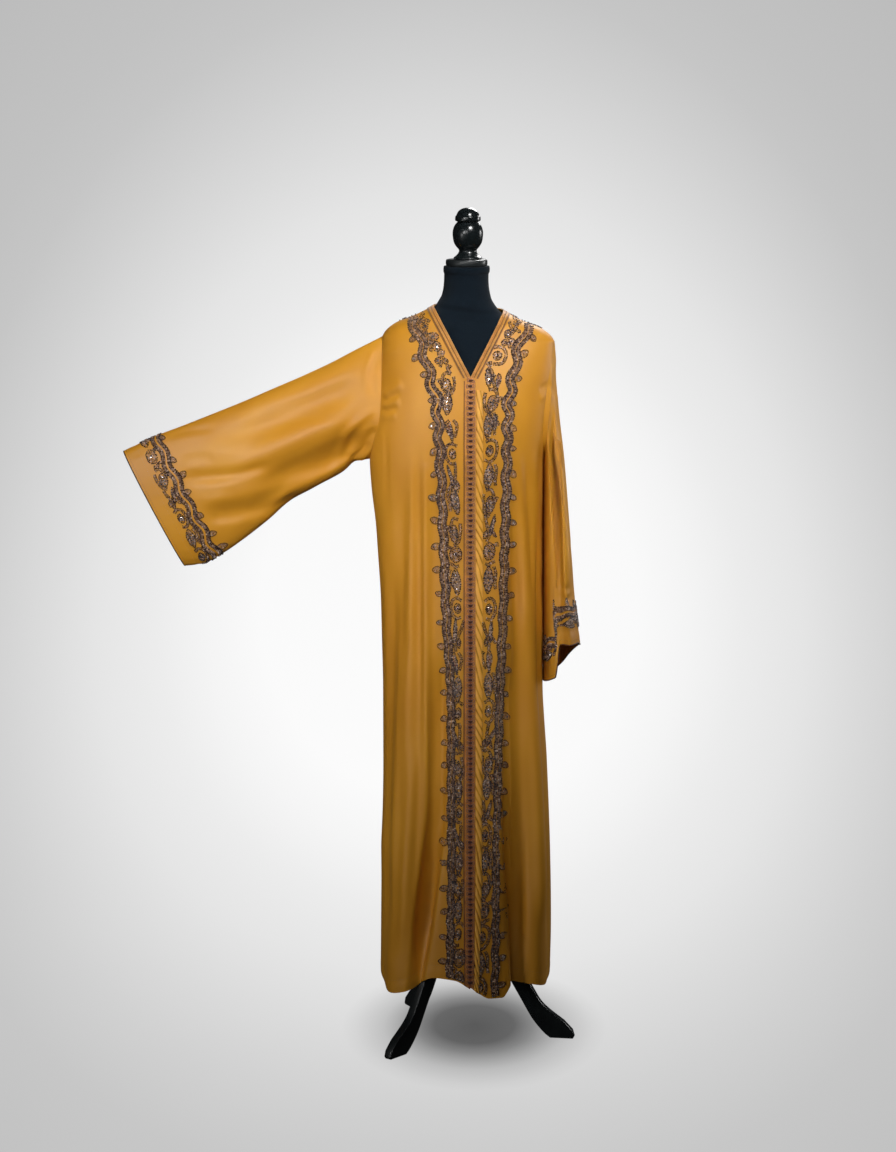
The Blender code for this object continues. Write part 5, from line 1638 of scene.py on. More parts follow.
class KAFTAN_OT_knots(bpy.types.Operator):
    """Close the front with a row of cloth knots and loops on a narrow ground"""

    bl_idname = "kaftan.knots"
    bl_label = "Tie the knots and loops"

    def execute(self, context):
        cloth = kaftan_cloth()
        chance = np.random.default_rng(31)
        heights = knot_heights(cloth)
        middles, ways = front_edge(cloth, heights)
        loops, balls = [], []
        for middle, way in zip(middles, ways):
            size = 1 + chance.uniform(-0.07, 0.07)
            tilt = chance.normal(0, 0.09)
            middle = middle + np.array((chance.normal(0, 0.0003), 0, chance.normal(0, 0.0003)))
            loops.append(self.loop(middle, way, size, tilt))
            balls.append(self.ball(middle, way, size, chance))
        trims = context.scene.kaftan_trims
        cord_piece("cloth_knots", balls, cord_for("rust cord", trims.knot), "knot_row")
        cord_piece("cloth_loops", loops, cord_for("copper cord", trims.loop))
        self.ground(cloth)
        return {"FINISHED"}

    def loop(self, middle, way, size, tilt):
        """A cord laid in a flat figure of eight behind the knot."""
        t = np.linspace(0, 2 * np.pi, 28, endpoint=False)
        across = KNOT_REACH * size * np.cos(t)
        up = 0.0034 * size * np.sin(2 * t) + across * tilt
        out = 0.0021 + 0.0007 * np.sin(t)
        side, rise = np.array((1.0, 0, 0)), np.cross(way, (-1.0, 0, 0))
        path = middle + across[:, None] * side + up[:, None] * rise + out[:, None] * way
        return tube(path, 0.00115, 6, closed=True)

    def ball(self, middle, way, size, chance):
        """The knot itself: a small ball drawn in where the cord crosses over it."""
        rings, sides = 7, 12
        polar = np.linspace(0, np.pi, rings)[1:-1]
        round_it = 2 * np.pi * np.arange(sides) / sides
        turn = chance.uniform(0, np.pi)
        grooved = 1 + 0.13 * np.cos(3 * round_it[None, :] + turn + 1.6 * np.cos(polar)[:, None])
        across = np.sin(polar)[:, None] * np.cos(round_it)[None] * grooved
        up = np.sin(polar)[:, None] * np.sin(round_it)[None] * grooved
        out = np.broadcast_to(np.cos(polar)[:, None], across.shape)
        side, rise = np.array((1.0, 0, 0)), np.cross(way, (-1.0, 0, 0))
        heart = middle + 0.0024 * way
        form = np.stack([across * 0.0050, up * 0.0030, out * 0.0030], -1).reshape(-1, 3) * size
        tips = np.array(((0, 0, 0.0028), (0, 0, -0.0028))) * size
        local = np.concatenate([form, tips])
        points = heart + local[:, :1] * side + local[:, 1:2] * rise + local[:, 2:] * way
        j = np.arange(sides)
        last = (rings - 3) * sides
        top = np.stack([j, (j + 1) % sides, np.full(sides, len(form))], -1)[:, ::-1]
        bottom = np.stack([last + j, last + (j + 1) % sides, np.full(sides, len(form) + 1)], -1)
        return points, [grid_faces(rings - 2, sides, True), np.concatenate([top, bottom])]

    def ground(self, cloth):
        """The narrow ground under the knots, half on each front edge."""
        rows = np.arange(0, V_ROW + 0.01, 1.0)
        near = np.linspace(0.0, 0.0056, 6)
        points, ways = [], []
        for name, order in (("front_right", slice(None, None, -1)), ("front_left", slice(1, None))):
            own = cloth[name].across_rows(rows, near)
            points.append(own[0][:, order])
            ways.append(own[1][:, order])
        distances = np.concatenate([-near[::-1], near[1:]])
        rise = ribs_across(distances, (-0.0057, -0.0038, 0.0038, 0.0057), 0.0006, 0.0006)
        points, ways = np.concatenate(points, 1), np.concatenate(ways, 1)
        finish = finish_for("knot ground", flat_braid_finish, KNOT_GROUND, UPPER_KNOT_GROUND)
        ribbon("knot_ground", points, ways, rise, 0.0003, (finish,), "flat_braid", (), distances + near[-1])


def ring_form(rings, sides, top):
    """A small closed form from rings (radius, height), with a point or a flat face at the top."""
    angle = 2 * np.pi * np.arange(sides) / sides
    points = [np.stack([r * np.cos(angle), r * np.sin(angle), np.full(sides, z)], -1) for r, z in rings]
    quads = grid_faces(len(rings), sides, True)
    base = np.arange(sides)[::-1][None]
    last = (len(rings) - 1) * sides
    if top is None:
        return np.concatenate(points), [quads, np.concatenate([base, last + np.arange(sides)[None]])]
    points.append(np.array([[0, 0, top]]))
    j = np.arange(sides)
    fan = np.stack([last + j, last + (j + 1) % sides, np.full(sides, last + sides)], -1)
    return np.concatenate(points), [quads, fan, base]


BEAD = ring_form(((0.50, 0.10), (0.42, 0.58)), 6, 0.86)
FACETED_STONE = ring_form(((0.50, 0.0), (0.50, 0.20), (0.26, 0.52)), 8, None)
SEQUIN_DISC = ring_form(((0.46, 0.10), (0.50, 0.14), (0.48, 0.20), (0.16, 0.13)), 10, 0.12)
STITCH = ring_form(((0.50, 0.10), (0.28, 0.60)), 4, None)


BEAD_FORM = np.array((1.0, 1.0, 0.89))
FINE_BEAD = 0.75


class Beadwork:
    """Beads, stones and sequins for one piece, gathered and then built as one mesh."""

    def __init__(self, seed, bead=0.0036):
        self.chance = np.random.default_rng(seed)
        self.bead = BEAD_FORM * bead
        self.parts = []

    def set_down(self, form, finish, points, ways, sizes, leads=None):
        """Stands copies of a small form on points; sizes are length, width and height."""
        count = len(points)
        if count == 0:
            return
        if leads is None:
            leads = self.chance.normal(size=(count, 3))
        ways = unit(ways + self.chance.normal(0, 0.12, (count, 3)))
        run = unit(leads - (leads * ways).sum(-1, keepdims=True) * ways)
        side = np.cross(ways, run)
        sizes = np.broadcast_to(sizes, (count, 3)) * self.chance.uniform(0.88, 1.12, (count, 1))
        local = form[0][None] * sizes[:, None]
        placed = points[:, None] + local[..., :1] * run[:, None] + local[..., 1:2] * side[:, None]
        placed = placed + local[..., 2:] * ways[:, None]
        offsets = (np.arange(count) * len(form[0]))[:, None, None]
        sets = [(found[None] + offsets).reshape(-1, found.shape[1]) for found in form[1]]
        self.parts.append((placed.reshape(-1, 3), sets, finish))

    def build(self, name, finishes):
        points, sets, materials, offset = [], [], [], 0
        for own, found, finish in self.parts:
            points.append(own)
            for faces in found:
                sets.append(faces + offset)
                materials.append(np.full(len(faces), finish))
            offset += len(own)
        mesh = build_mesh(name, np.concatenate(points), sets)
        materials = np.concatenate(materials).astype(np.int32)
        mesh.polygons.foreach_set("material_index", materials)
        mesh.polygons.foreach_set("use_smooth", materials != STONE)
        return link(name, mesh, *finishes)


def spaced(curve, pitch, closed=False):
    """Points along a curve at about this pitch, and the way it runs at each."""
    if closed:
        curve = np.concatenate([curve, curve[:1]])
    total = distances_along(curve)[-1]
    count = max(2, int(round(total / pitch)))
    return along(curve, np.linspace(0, total, count + 1)[: count if closed else count + 1])


def beside(curve, offset):
    """A curve moved square to itself, by one distance or by one for each point."""
    run = unit(np.gradient(curve, axis=0))
    return curve + np.stack([-run[:, 1], run[:, 0]], -1) * np.broadcast_to(offset, len(curve))[:, None]


# The bead motifs, each in a box from -1 to 1: x runs away from the edge, y along the row of motifs.
# Each line says how its places are worked: a closed or an open line of beads, or single spots.
MOTIFS = {
    "paisley": """closed: .1 -.95, .72 -.55, .82 0, .35 .42, -.2 .3, -.45 -.2, -.35 -.7
        open: .72 .3, .5 .78, .05 1, -.45 .9
        open: -.85 .55, -.92 -.1, -.6 -.85, .1 -1.15
        open: .84 -.05, 1.1 .3, 1.3 .25
        stone: .24 .05, .2 -.3, .16 -.62""",
    "scroll": """open: -.75 .75, -.1 1, .6 .8, .9 .2, .75 -.45, .25 -.9, -.45 -.85
        closed: -.05 .5, .38 .2, .3 -.25, -.1 -.45, -.5 -.2, -.48 .28
        sequin: -.08 .05""",
    "ring": """closed: 0 .85, .72 .55, .85 -.05, .42 -.5, -.3 -.55, -.8 -.1, -.65 .55
        open: .95 -.7, .45 -.8, .1 -1, -.4 -.92
        open: .7 .62, 1.05 .8, 1.25 .6
        sequin: .02 .15""",
    "leaf": """closed: -.1 1, .52 .52, .7 0, .45 -.55, -.05 -1, -.58 -.5, -.72 .1, -.52 .62
        open: .72 .95, 1.05 .5, 1 -.2, 1.15 -.62
        stone: -.08 .5, -.02 .15, -.02 -.2, 0 -.52""",
    "sprig": """closed: .95 1, .55 .62, .2 .1, .15 -.45, .45 -.5, .72 0, .98 .52
        open: .2 -.4, 0 -.7, -.3 -1.05
        open: .7 -.3, 1 -.62, 1.25 -.6
        open: -.6 .95, -.45 .4, -.2 -.05, 0 -.4
        closed: -.45 -.2, -.25 -.45, -.45 -.75, -.8 -.8, -.85 -.45""",
    "flower": """closed: 0 1, .45 .75, .45 .35, .05 .1, -.38 .32, -.42 .75
        closed: .15 -.05, .6 .05, .95 -.25, .7 -.6, .25 -.5
        closed: -.15 -.1, -.6 -.05, -.95 -.35, -.65 -.7, -.25 -.55
        open: .05 -.35, .1 -.7, .25 -1
        stone: .02 .52, .52 -.25""",
    "heart": """closed: .05 .3, .45 .8, .9 .5, .8 -.05, .35 -.55, 0 -1, -.1 -.45, -.08 0
        open: -.3 .75, -.7 .4, -.62 -.15, -.35 -.6
        red: .44 .32, .3 .02, .52 .1, .22 -.22, .4 -.2
        stone: .12 -.52""",
    "berries": """open: .3 1, .5 .3, .2 -.3, -.3 -1
        open: -.7 .7, -.3 .4, .1 .3""",
}

# How the places of a motif are worked: the finish, and whether its line is closed (None for single spots)
WORKED = {
    "closed": (DARK, True),
    "open": (DARK, False),
    "stone": (STONE, None),
    "sequin": (SEQUIN, None),
    "red": (RED, None),
}

# Added to a finish for fine beads
FINE = 10
# The share of the beads of each finish that is swapped for the other one
SWAPPED_IN_MOTIFS = {DARK: 0.10, PLUM: 0.30}
SWAPPED_IN_VINES = {DARK: 0.10, PLUM: 0.34}

BEAD_PITCH = 0.0036
BEAD_ROW = 0.0034
FINE_PITCH = 0.0027
BAND_HALF = 0.0024
STONE_SIZE = (0.0050, 0.0050, 0.0036)
SEQUIN_SIZE = (0.0082, 0.0082, 0.0040)

# Where each motif of the fronts lies: its height, distance across, half width and half height
CHAIN = {
    RIGHT: """sprig 1.56 .1043 .0156 .0103, scroll 1.544 .0918 .0136 .0132, ring 1.522 .0742 .0145 .0112,
        leaf 1.504 .0669 .0124 .0102, flower 1.481 .0565 .0145 .0172, berries 1.459 .0409 .0063 .0092,
        paisley 1.43 .044 .0156 .0215, leaf 1.389 .0451 .0145 .0236, heart 1.335 .0347 .0145 .0249,
        scroll 1.284 .0347 .0145 .0218, sprig 1.233 .0305 .0104 .0292, leaf 1.185 .0284 .0115 .0293,
        paisley 1.122 .0284 .0125 .0264, ring 1.069 .0263 .0146 .0233, leaf 1.014 .0263 .0136 .0276,
        scroll .958 .0241 .0137 .0222, sprig .903 .0231 .0115 .0329, heart .844 .0241 .0126 .0266,
        leaf .788 .023 .0116 .0278, scroll .735 .022 .0115 .0255, sprig .68 .0219 .0106 .0297,
        paisley .625 .0219 .0116 .0266, leaf .571 .0208 .0106 .0266, scroll .522 .0198 .0095 .0215,
        sprig .468 .0197 .0096 .029, leaf .414 .0197 .0095 .0248, paisley .365 .0208 .0106 .0248,
        leaf .313 .0218 .0106 .0259, scroll .261 .0228 .0128 .026, ring .207 .0186 .0138 .0281,
        leaf .16 .019 .0122 .02""",
    LEFT: """scroll 1.559 .1005 .0136 .0124, sprig 1.54 .0921 .0125 .0122, flower 1.518 .0816 .0145 .0182,
        scroll 1.485 .0608 .0187 .0183, berries 1.464 .0411 .0063 .0102, leaf 1.441 .041 .0083 .0183,
        heart 1.434 .0576 .0103 .0184, paisley 1.395 .0473 .0166 .0236, leaf 1.343 .0411 .0125 .0279,
        flower 1.352 .0546 .0094 .0144, scroll 1.29 .0443 .0156 .0239, leaf 1.237 .0423 .0135 .0272,
        paisley 1.183 .0424 .0136 .0272, sprig 1.128 .0425 .0125 .0275, ring 1.075 .0426 .0136 .0254,
        leaf 1.018 .0417 .0136 .0287, scroll .956 .0439 .0136 .0234, sprig .903 .0409 .0115 .0287,
        heart .848 .0389 .0126 .0266, leaf .795 .0421 .0126 .0277, scroll .739 .0422 .0126 .0254,
        sprig .684 .0412 .0115 .0287, paisley .631 .0403 .0116 .0266, leaf .578 .0393 .0116 .0277,
        sprig .524 .0372 .0105 .0257, scroll .472 .0363 .0117 .0269, leaf .419 .0363 .0105 .0269,
        paisley .365 .0354 .0117 .027, ring .311 .0312 .0138 .0259, scroll .253 .0291 .0159 .027,
        leaf .196 .025 .0149 .0282, scroll .146 .025 .014 .021""",
}


def motif_spots(motif, middle, half, side, turn, chance):
    """The beads of one motif: each finish with its places in the flat."""
    cos_turn, sin_turn = math.cos(turn), math.sin(turn)
    for row in MOTIFS[motif].splitlines():
        kind, places = row.split(":")
        finish, closed = WORKED[kind.strip()]
        places = rows_of(places) * half * (side, 1)
        places = places @ np.array(((cos_turn, sin_turn), (-sin_turn, cos_turn)))
        rows = ((finish, places),)
        if closed:
            line = smooth_line(places, 10, True)
            heart = line.mean(axis=0)
            reach = np.linalg.norm(line - heart, axis=1).mean()
            inward = np.arange(1, 0.2, -BEAD_ROW / reach)
            rows = [
                (DARK if k == 0 else PLUM, spaced(heart + (line - heart) * share, BEAD_PITCH, True))
                for k, share in enumerate(inward)
            ]
        elif closed is False:
            line = smooth_line(places, 10)
            bands = ((DARK, BAND_HALF), (PLUM, 0.0), (DARK, -BAND_HALF))
            rows = [(each, spaced(beside(line, offset), FINE_PITCH)) for each, offset in bands]
        for each, found in rows:
            found = found + middle + chance.normal(0, 0.0003, found.shape)
            small = FINE if closed is False else 0
            if each in (DARK, PLUM):
                swapped = chance.random(len(found)) < SWAPPED_IN_MOTIFS[each]
                yield small + DARK + PLUM - each, found[swapped]
                found = found[~swapped]
            yield small + each if closed is not None else each, found


def by_finish(spots):
    """Flat places gathered by finish."""
    gathered = {}
    for finish, places in spots:
        gathered.setdefault(finish, []).append(places)
    return {finish: np.concatenate(found) for finish, found in sorted(gathered.items())}


def sew_spots(work, spots, where):
    """Sews beads, stones and sequins at flat places; `where` turns those into points and ways out."""
    for finish, places in by_finish(spots).items():
        points, ways = where(places)
        if finish == STONE:
            work.set_down(FACETED_STONE, STONE, points, ways, STONE_SIZE)
        elif finish == SEQUIN:
            work.set_down(SEQUIN_DISC, SEQUIN, points, ways, SEQUIN_SIZE)
            work.set_down(BEAD, DARK, points + ways * 0.0006, ways, work.bead)
        elif finish >= FINE:
            work.set_down(BEAD, finish - FINE, points, ways, work.bead * FINE_BEAD)
        else:
            work.set_down(BEAD, finish, points, ways, work.bead)


# How far the two strands of a vine part, along its length
VINE_PARTING = Table("height gap", ".11 0, 1.35 0, 1.38 .0024, 1.42 .003, 1.45 0, 1.57 0")
VINE_WIDTH = Table("height share", ".11 .84, .55 .84, .95 .97, 1.57 1")
PARTED = {RIGHT: 1.0, LEFT: 0.3}
VINE_SWAY = Table("height sway", ".11 .0018, .6 .0014, 1.05 .0018, 1.25 .0032, 1.45 .0056, 1.57 .0056")
VINE_WAVE = 0.056
VINE_START = 0.118
VINE_ROWS = (-0.0086, -0.0054, -0.0020, 0.0020, 0.0054, 0.0086)
BUD_PITCH = 0.0526
BUD = rows_of("-1 -.25, -.45 -.8, .35 -.82, 1.05 -.1, .45 .74, -.4 .86, -1 .3")
BUD_LENGTH = 0.0092
BUD_WIDTH = 0.0078
BUD_OUTWARD = 0.0062
BUD_SIZES = (0.85, 1.15)
BUD_LEANS = (-0.80, 0.55)
BUD_RINGS = ((0.90, DARK), (0.56, PLUM), (0.20, PLUM))
BUDS_WITH_STONE = 0.30
VINE_OUTLINE = 0.007


def vine_line(side):
    """The vine's middle in the front view, from the hem to the shoulder."""
    table = VINE[side]
    height = np.linspace(VINE_START, table.rows[-1, 0], 900)
    uneven = 0.9 * np.sin(height / 0.117 + side) + 0.5 * np.sin(height / 0.043)
    sway = VINE_SWAY.read("sway", height) * np.sin(2 * np.pi * (height - 0.175) / VINE_WAVE + uneven)
    return np.stack([side * (table.read("across", height) + sway), height], -1)


def vine_spots(line, side, parting, width, chance):
    """The beads of a vine: dark outlines, lighter rows inside and a line of gold where its strands part."""
    for offset in VINE_ROWS:
        moved = beside(line, -side * (offset * width + np.sign(offset) * parting / 2))
        places = spaced(moved, BEAD_PITCH)
        finish = DARK if abs(offset) > VINE_OUTLINE else PLUM
        swapped = chance.random(len(places)) < SWAPPED_IN_VINES[finish]
        places = places + chance.normal(0, 0.00025, places.shape)
        yield finish, places[~swapped]
        yield DARK + PLUM - finish, places[swapped]


def bud_spots(line, side, outer, pitch, start, chance):
    """Leaf buds on the outer side of a vine, some with a bright stone at the tip."""
    lengths = distances_along(line)
    outward = beside(line, side * -outer) - line
    for distance in np.arange(start, lengths[-1] - 0.004, pitch):
        at = along(line, [distance + chance.normal(0, 0.003)])[0]
        nearest = int(np.abs(lengths - distance).argmin())
        way = unit(outward[nearest])
        up = unit(np.gradient(line, axis=0)[nearest])
        size = chance.uniform(*BUD_SIZES)
        lean_up = chance.uniform(*BUD_LEANS)
        middle = at + way * (outer + BUD_OUTWARD * size)
        form = BUD * (BUD_LENGTH * size, BUD_WIDTH * size)
        along_way, along_up = unit(way + lean_up * up), unit(up - lean_up * way)
        flat = lambda table: middle + table[:, :1] * along_way + table[:, 1:] * along_up
        for share, finish in BUD_RINGS:
            yield finish + FINE, spaced(smooth_line(flat(form * share), 6, True), FINE_PITCH, True)
        if chance.random() < BUDS_WITH_STONE:
            yield STONE, flat(np.array(((0.0030 * size, 0.0006),)))


STRAND = np.linspace(0.0007, 0.0090, 4)


def couch(name, strand_at, where, around=None):
    """The couched threads that the two strands of a vine lie on; a cuff's are closed into rings."""
    rise = np.array((0.0001, 0.0005, 0.0005, 0.0001))
    finish = finish_for("couched threads", satin_cord_finish, (0.34, 0.165, 0.060), (0.085, 0.034, 0.018), 0.6)
    for strand, sign in (("inner", -1), ("outer", 1)):
        places = np.stack([strand_at(sign, offset) for offset in STRAND], 1)
        if around:
            places = np.concatenate([places, places[:1] + (0, around)])
        points, ways = (found.reshape(*places.shape[:2], 3) for found in where(places.reshape(-1, 2)))
        ribbon("couching_" + strand + name, points, ways, rise, 0.0001, (finish,), "beadwork")


def bead_piece(name, node, work, spots, where):
    """Sews on all spots of one piece and joins them in one mesh."""
    sew_spots(work, spots, where)
    sew(work.build(name, [finish_for(*values) for values in BEAD_FINISHES]), "beadwork", node)


BUD_FROM_VINE = 0.0090


class KAFTAN_OT_front_beads(bpy.types.Operator):
    """Sew the bead vines, their buds and the inner chain of motifs to both fronts"""

    bl_idname = "kaftan.front_beads"
    bl_label = "Bead the fronts"

    def execute(self, context):
        cloth = kaftan_cloth()
        for side in (RIGHT, LEFT):
            sheet = cloth["front_" + side_name(side)]
            work = Beadwork(500 + side, context.scene.kaftan_trims.bead)
            chance = work.chance
            line = vine_line(side)
            parting = VINE_PARTING.read("gap", line[:, 1]) * PARTED[side]
            spots = list(vine_spots(line, side, parting, VINE_WIDTH.read("share", line[:, 1]), chance))
            spots += bud_spots(line, side, BUD_FROM_VINE, BUD_PITCH, 0.030, chance)
            for row in CHAIN[side].split(","):
                motif, *sizes = row.split()
                height, across, *half = map(float, sizes)
                turn = chance.normal(0, 0.10)
                spots += motif_spots(motif, np.array((side * across, height)), half, side, turn, chance)
            on_cloth = lambda places: sheet.on_front(places[:, 0], places[:, 1])
            spots = [(finish, self.above_hem(sheet, places)) for finish, places in spots]
            bead_piece("beads_front_" + side_name(side), "vine_" + side_name(side), work, spots, on_cloth)
            keep = line[line[:, 1] > np.interp(line[:, 0] * side, *self.hem_line(sheet)) + 0.006][::2]
            parting = VINE_PARTING.read("gap", keep[:, 1]) * PARTED[side]
            width = VINE_WIDTH.read("share", keep[:, 1])
            strand = lambda sign, offset: beside(keep, -side * sign * (offset * width + parting / 2))
            couch("_" + side_name(side), strand, on_cloth)
        return {"FINISHED"}

    def above_hem(self, sheet, places):
        """Leaves out what would hang over the hem."""
        hem = np.interp(places[:, 0] * np.sign(sheet.points[0, -1, 0]), *self.hem_line(sheet))
        return places[places[:, 1] > hem + 0.004]

    def hem_line(self, sheet):
        line = sheet.points[0]
        across = line[:, 0] * np.sign(line[-1, 0])
        order = np.argsort(across)
        return across[order], line[order, 2]


CUFF_VINE = 0.0740
CUFF_CHAIN = 0.0480
CUFF_PARTING = 0.0030
CUFF_SWAY = 0.0038
CUFF_WAVE = 0.062
CUFF_BUDS = 0.047
CUFF_MOTIFS = 0.0445
CUFF_MOTIF_HALF = (0.0125, 0.0205)


class KAFTAN_OT_cuff_beads(bpy.types.Operator):
    """Sew the bead band round each cuff and roll the cuff's edge"""

    bl_idname = "kaftan.cuff_beads"
    bl_label = "Bead the cuffs"

    def execute(self, context):
        cloth = kaftan_cloth()
        for side in (RIGHT, LEFT):
            sheet = cloth["sleeve_" + side_name(side)]
            work = Beadwork(700 + side, context.scene.kaftan_trims.bead)
            chance = work.chance
            around = sheet.round_edge()
            run = np.linspace(0, around, 500, endpoint=False)
            waves = round(around / CUFF_WAVE)
            sway = CUFF_SWAY * np.sin(2 * np.pi * waves * run / around)
            line = np.stack([CUFF_VINE + sway, run], -1)
            spots = list(vine_spots(line, -1, np.full(len(line), CUFF_PARTING), 1.0, chance))
            pitch = around / round(around / CUFF_BUDS)
            spots += bud_spots(line, 1, BUD_FROM_VINE, pitch, 0.020, chance)
            kinds = ("scroll", "leaf", "scroll", "sprig", "paisley", "ring", "leaf", "heart")
            count = round(around / CUFF_MOTIFS)
            for k in range(count):
                middle = np.array((CUFF_CHAIN + chance.normal(0, 0.0012), (k + 0.5) * around / count))
                turn = chance.normal(0, 0.12)
                spots += motif_spots(kinds[k % len(kinds)], middle, CUFF_MOTIF_HALF, 1, turn, chance)
            near = lambda places: sheet.near_edge(places[:, 1] / around, places[:, 0])
            bead_piece("beads_cuff_" + side_name(side), "cuff_band_" + side_name(side), work, spots, near)
            strand = lambda sign, offset: line + (sign * (offset + CUFF_PARTING / 2), 0)
            couch("_cuff_" + side_name(side), strand, near, around)
            self.roll(sheet, side, context)
        return {"FINISHED"}

    def roll(self, sheet, side, context):
        """The narrow rolled edge of the cuff."""
        path = sheet.points[-1] - sheet.out[-1] * context.scene.kaftan_cloth.thickness * 0.5
        cord = tube(path, 0.00135, 8, closed=True)
        cord_piece("cuff_roll_" + side_name(side), [cord], cord_for("rust cord", context.scene.kaftan_trims.knot))


STITCH_PITCH = 0.0042


class KAFTAN_OT_stitches(bpy.types.Operator):
    """Run the visible stitching along the hems, the cuffs, the facing and the right braid"""

    bl_idname = "kaftan.stitches"
    bl_label = "Run the stitching"

    def execute(self, context):
        cloth = kaftan_cloth()
        work = Beadwork(900)
        for name in ("front_right", "front_left", "back"):
            self.above_hem(work, cloth[name])
        for name in ("sleeve_right", "sleeve_left"):
            sheet = cloth[name]
            around = sheet.round_edge()
            for from_edge, finish in ((0.0065, 1), (HEM_DEPTH, 0)):
                count = int(around / STITCH_PITCH)
                points, ways = sheet.near_edge(np.arange(count) / count, np.full(count, from_edge))
                self.run(work, points, ways, finish)
        rows = np.arange(3.0, V_ROW - 12, 0.62)
        for name, distance in (
            ("front_left", FACING_INNER),
            ("front_left", FACING_OUTER + 0.0008),
            ("front_right", BRAID_COLUMN + 0.0012),
        ):
            points, ways = cloth[name].across_rows(rows, np.array([distance]))
            self.run(work, points[:, 0], ways[:, 0], 1)
        piece = work.build("stitching", [finish_for(*GOLD_THREAD), finish_for(*RUST_THREAD)])
        sew(piece, "gold_satin")
        return {"FINISHED"}

    def above_hem(self, work, sheet):
        """The row of stitches that holds the turned-up hem of a panel."""
        v, number = sheet.lengths()[1], np.arange(sheet.columns)
        rows = np.array([np.interp(HEM_DEPTH, v[:, j], np.arange(sheet.rows)) for j in number])
        lengths = distances_along(sheet.at(rows, number.astype(float))[0])
        columns = np.interp(np.arange(0.006, lengths[-1] - 0.006, STITCH_PITCH), lengths, number)
        points, ways = sheet.at(np.interp(columns, number, rows), columns)
        self.run(work, points, ways, 0)

    def run(self, work, points, ways, finish):
        leads = np.gradient(points, axis=0)
        work.set_down(STITCH, finish, points, ways, (0.0030, 0.0007, 0.0007), leads)


def turned_form(name, outline, centre_x, sides, material, slot, smooth_steps=1):
    """Turned wood from heights and radii, closed at both ends."""
    if smooth_steps > 1:
        outline = smooth_line(outline, smooth_steps)
    angle = 2 * np.pi * np.arange(sides) / sides
    rings = [
        np.stack([centre_x + r * np.cos(angle), r * np.sin(angle), np.full(sides, z)], -1) for z, r in outline
    ]
    return solid_rings(name, np.array(rings), material, slot)


def solid_rings(name, rings, material, slot):
    mesh = build_mesh(name, rings.reshape(-1, 3), stacked_rings(*rings.shape[:2]))
    face_outwards(mesh)
    mesh.set_sharp_from_angle(angle=math.radians(42))
    return sew(link(name, mesh, material), slot, name.removeprefix("fine_"))


class KAFTAN_OT_form(bpy.types.Operator):
    """Stand up the padded form, its wooden cap and its knob"""

    bl_idname = "kaftan.form"
    bl_label = "Set up the dress form"

    def execute(self, context):
        stand = context.scene.kaftan_stand
        jersey = finish_for("navy jersey", jersey_finish, *two_shades(stand.jersey))
        wood = finish_for("gloss painted wood", painted_wood_finish, 0.20, True, *two_shades(stand.paint))
        cap = finish_for("satin painted wood", painted_wood_finish, 0.42, True, *two_shades(stand.paint))
        rows = smooth_line(FORM.rows, 3)
        angle = 2 * np.pi * np.arange(72) / 72
        c, s = np.cos(angle), np.sin(angle)
        power = 2 / SQUARENESS
        rings = []
        for height, half, front, back, across in rows:
            x = half * np.sign(c) * np.abs(c) ** power
            y = np.where(s > 0, back, front) * np.sign(s) * np.abs(s) ** power
            rings.append(np.stack([across + x, y, height + lean(x, height)], -1))
        solid_rings("fine_form_torso", np.array(rings), jersey, "navy_jersey")
        turned_form("fine_neck_disc", DISC, DISC_X, 64, cap, "painted_wood")
        turned_form("fine_finial", FINIAL, FINIAL_X, 56, wood, "painted_wood", 4)
        return {"FINISHED"}


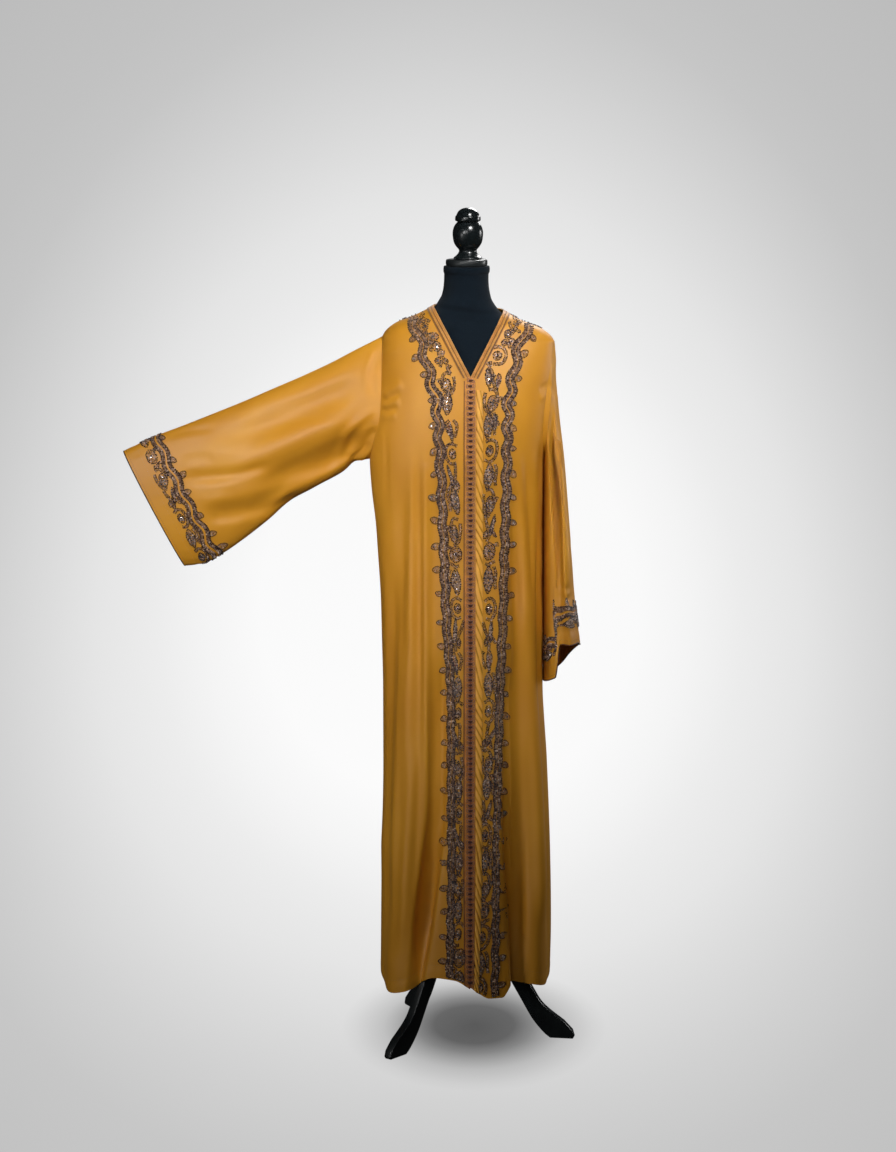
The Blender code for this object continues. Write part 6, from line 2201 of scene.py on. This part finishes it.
class KAFTAN_OT_stand(bpy.types.Operator):
    """Put up the pole, its hub and the three legs"""

    bl_idname = "kaftan.stand"
    bl_label = "Put up the stand"

    def execute(self, context):
        stand = context.scene.kaftan_stand
        wood = finish_for("stand paint", painted_wood_finish, 0.30, False, *two_shades(stand.paint))
        turned_form("fine_pole", POLE, POLE_X, 40, wood, "painted_wood")
        turned_form("fine_hub", HUB, POLE_X, 48, wood, "painted_wood")
        under = smooth_line(LEG_UNDER, 4)
        upper = smooth_line(LEG_UPPER, 4)
        outline = np.concatenate([under, LEG_TOE, upper])
        for name, turn in LEG_TURNS.items():
            self.leg(name, outline, math.radians(turn), wood, stand.rounding)
        return {"FINISHED"}

    def leg(self, name, outline, turn, wood, rounding):
        """One plank, sawn to its outline and rounded along its edges."""
        shape = bmesh.new()
        half = LEG_THICKNESS / 2
        face = shape.faces.new([shape.verts.new((r, -half, z)) for r, z in outline])
        grown = bmesh.ops.extrude_face_region(shape, geom=[face])
        far = [item for item in grown["geom"] if isinstance(item, bmesh.types.BMVert)]
        bmesh.ops.translate(shape, verts=far, vec=(0, LEG_THICKNESS, 0))
        bmesh.ops.recalc_face_normals(shape, faces=shape.faces)
        edges = [edge for edge in shape.edges if edge.calc_face_angle(0) > math.radians(60)]
        bmesh.ops.bevel(shape, geom=edges, offset=rounding, segments=3, profile=0.5, affect="EDGES", clamp_overlap=True)
        for vert in shape.verts:
            r, y, z = vert.co
            vert.co = Vector(
                (
                    POLE_X + r * math.cos(turn) - y * math.sin(turn) + SHIFT[0],
                    r * math.sin(turn) + y * math.cos(turn) + SHIFT[1],
                    z + SHIFT[2],
                )
            )
        mesh = bpy.data.meshes.new("fine_" + name)
        shape.to_mesh(mesh)
        shape.free()
        mesh.shade_smooth()
        mesh.set_sharp_from_angle(angle=math.radians(38))
        sew(link("fine_" + name, mesh, wood), "painted_wood", name)


STEPS = (
    KAFTAN_OT_stage,
    KAFTAN_OT_panels,
    KAFTAN_OT_sleeves,
    KAFTAN_OT_braids,
    KAFTAN_OT_knots,
    KAFTAN_OT_front_beads,
    KAFTAN_OT_cuff_beads,
    KAFTAN_OT_stitches,
    KAFTAN_OT_form,
    KAFTAN_OT_stand,
)


class KAFTAN_PT_workroom(bpy.types.Panel):
    """The steps of the making, in order, and the sizes and colours that they use"""

    bl_idname = "KAFTAN_PT_workroom"
    bl_label = "Kaftan workroom"
    bl_space_type = "VIEW_3D"
    bl_region_type = "UI"
    bl_category = "Kaftan"

    def draw(self, context):
        for group in (getattr(context.scene, name) for name in GROUPS):
            box = self.layout.box()
            for name in group.__annotations__:
                box.prop(group, name)
        for step in STEPS:
            self.layout.operator(step.bl_idname)


GROUPS = {
    "kaftan_cloth": KaftanCloth,
    "kaftan_trims": KaftanTrims,
    "kaftan_stand": KaftanStand,
    "kaftan_studio": KaftanStudio,
}
CLASSES = (*GROUPS.values(), *STEPS, KAFTAN_PT_workroom)


def register():
    for made in CLASSES:
        bpy.utils.register_class(made)
    for name, group in GROUPS.items():
        setattr(bpy.types.Scene, name, PointerProperty(type=group))


def unregister():
    for name in GROUPS:
        delattr(bpy.types.Scene, name)
    for made in reversed(CLASSES):
        bpy.utils.unregister_class(made)


def main():
    register()
    bpy.ops.kaftan.stage()
    bpy.ops.kaftan.panels()
    bpy.ops.kaftan.sleeves()
    bpy.ops.kaftan.braids()
    bpy.ops.kaftan.knots()
    bpy.ops.kaftan.front_beads()
    bpy.ops.kaftan.cuff_beads()
    bpy.ops.kaftan.stitches()
    bpy.ops.kaftan.form()
    bpy.ops.kaftan.stand()


if __name__ == "__main__":
    main()
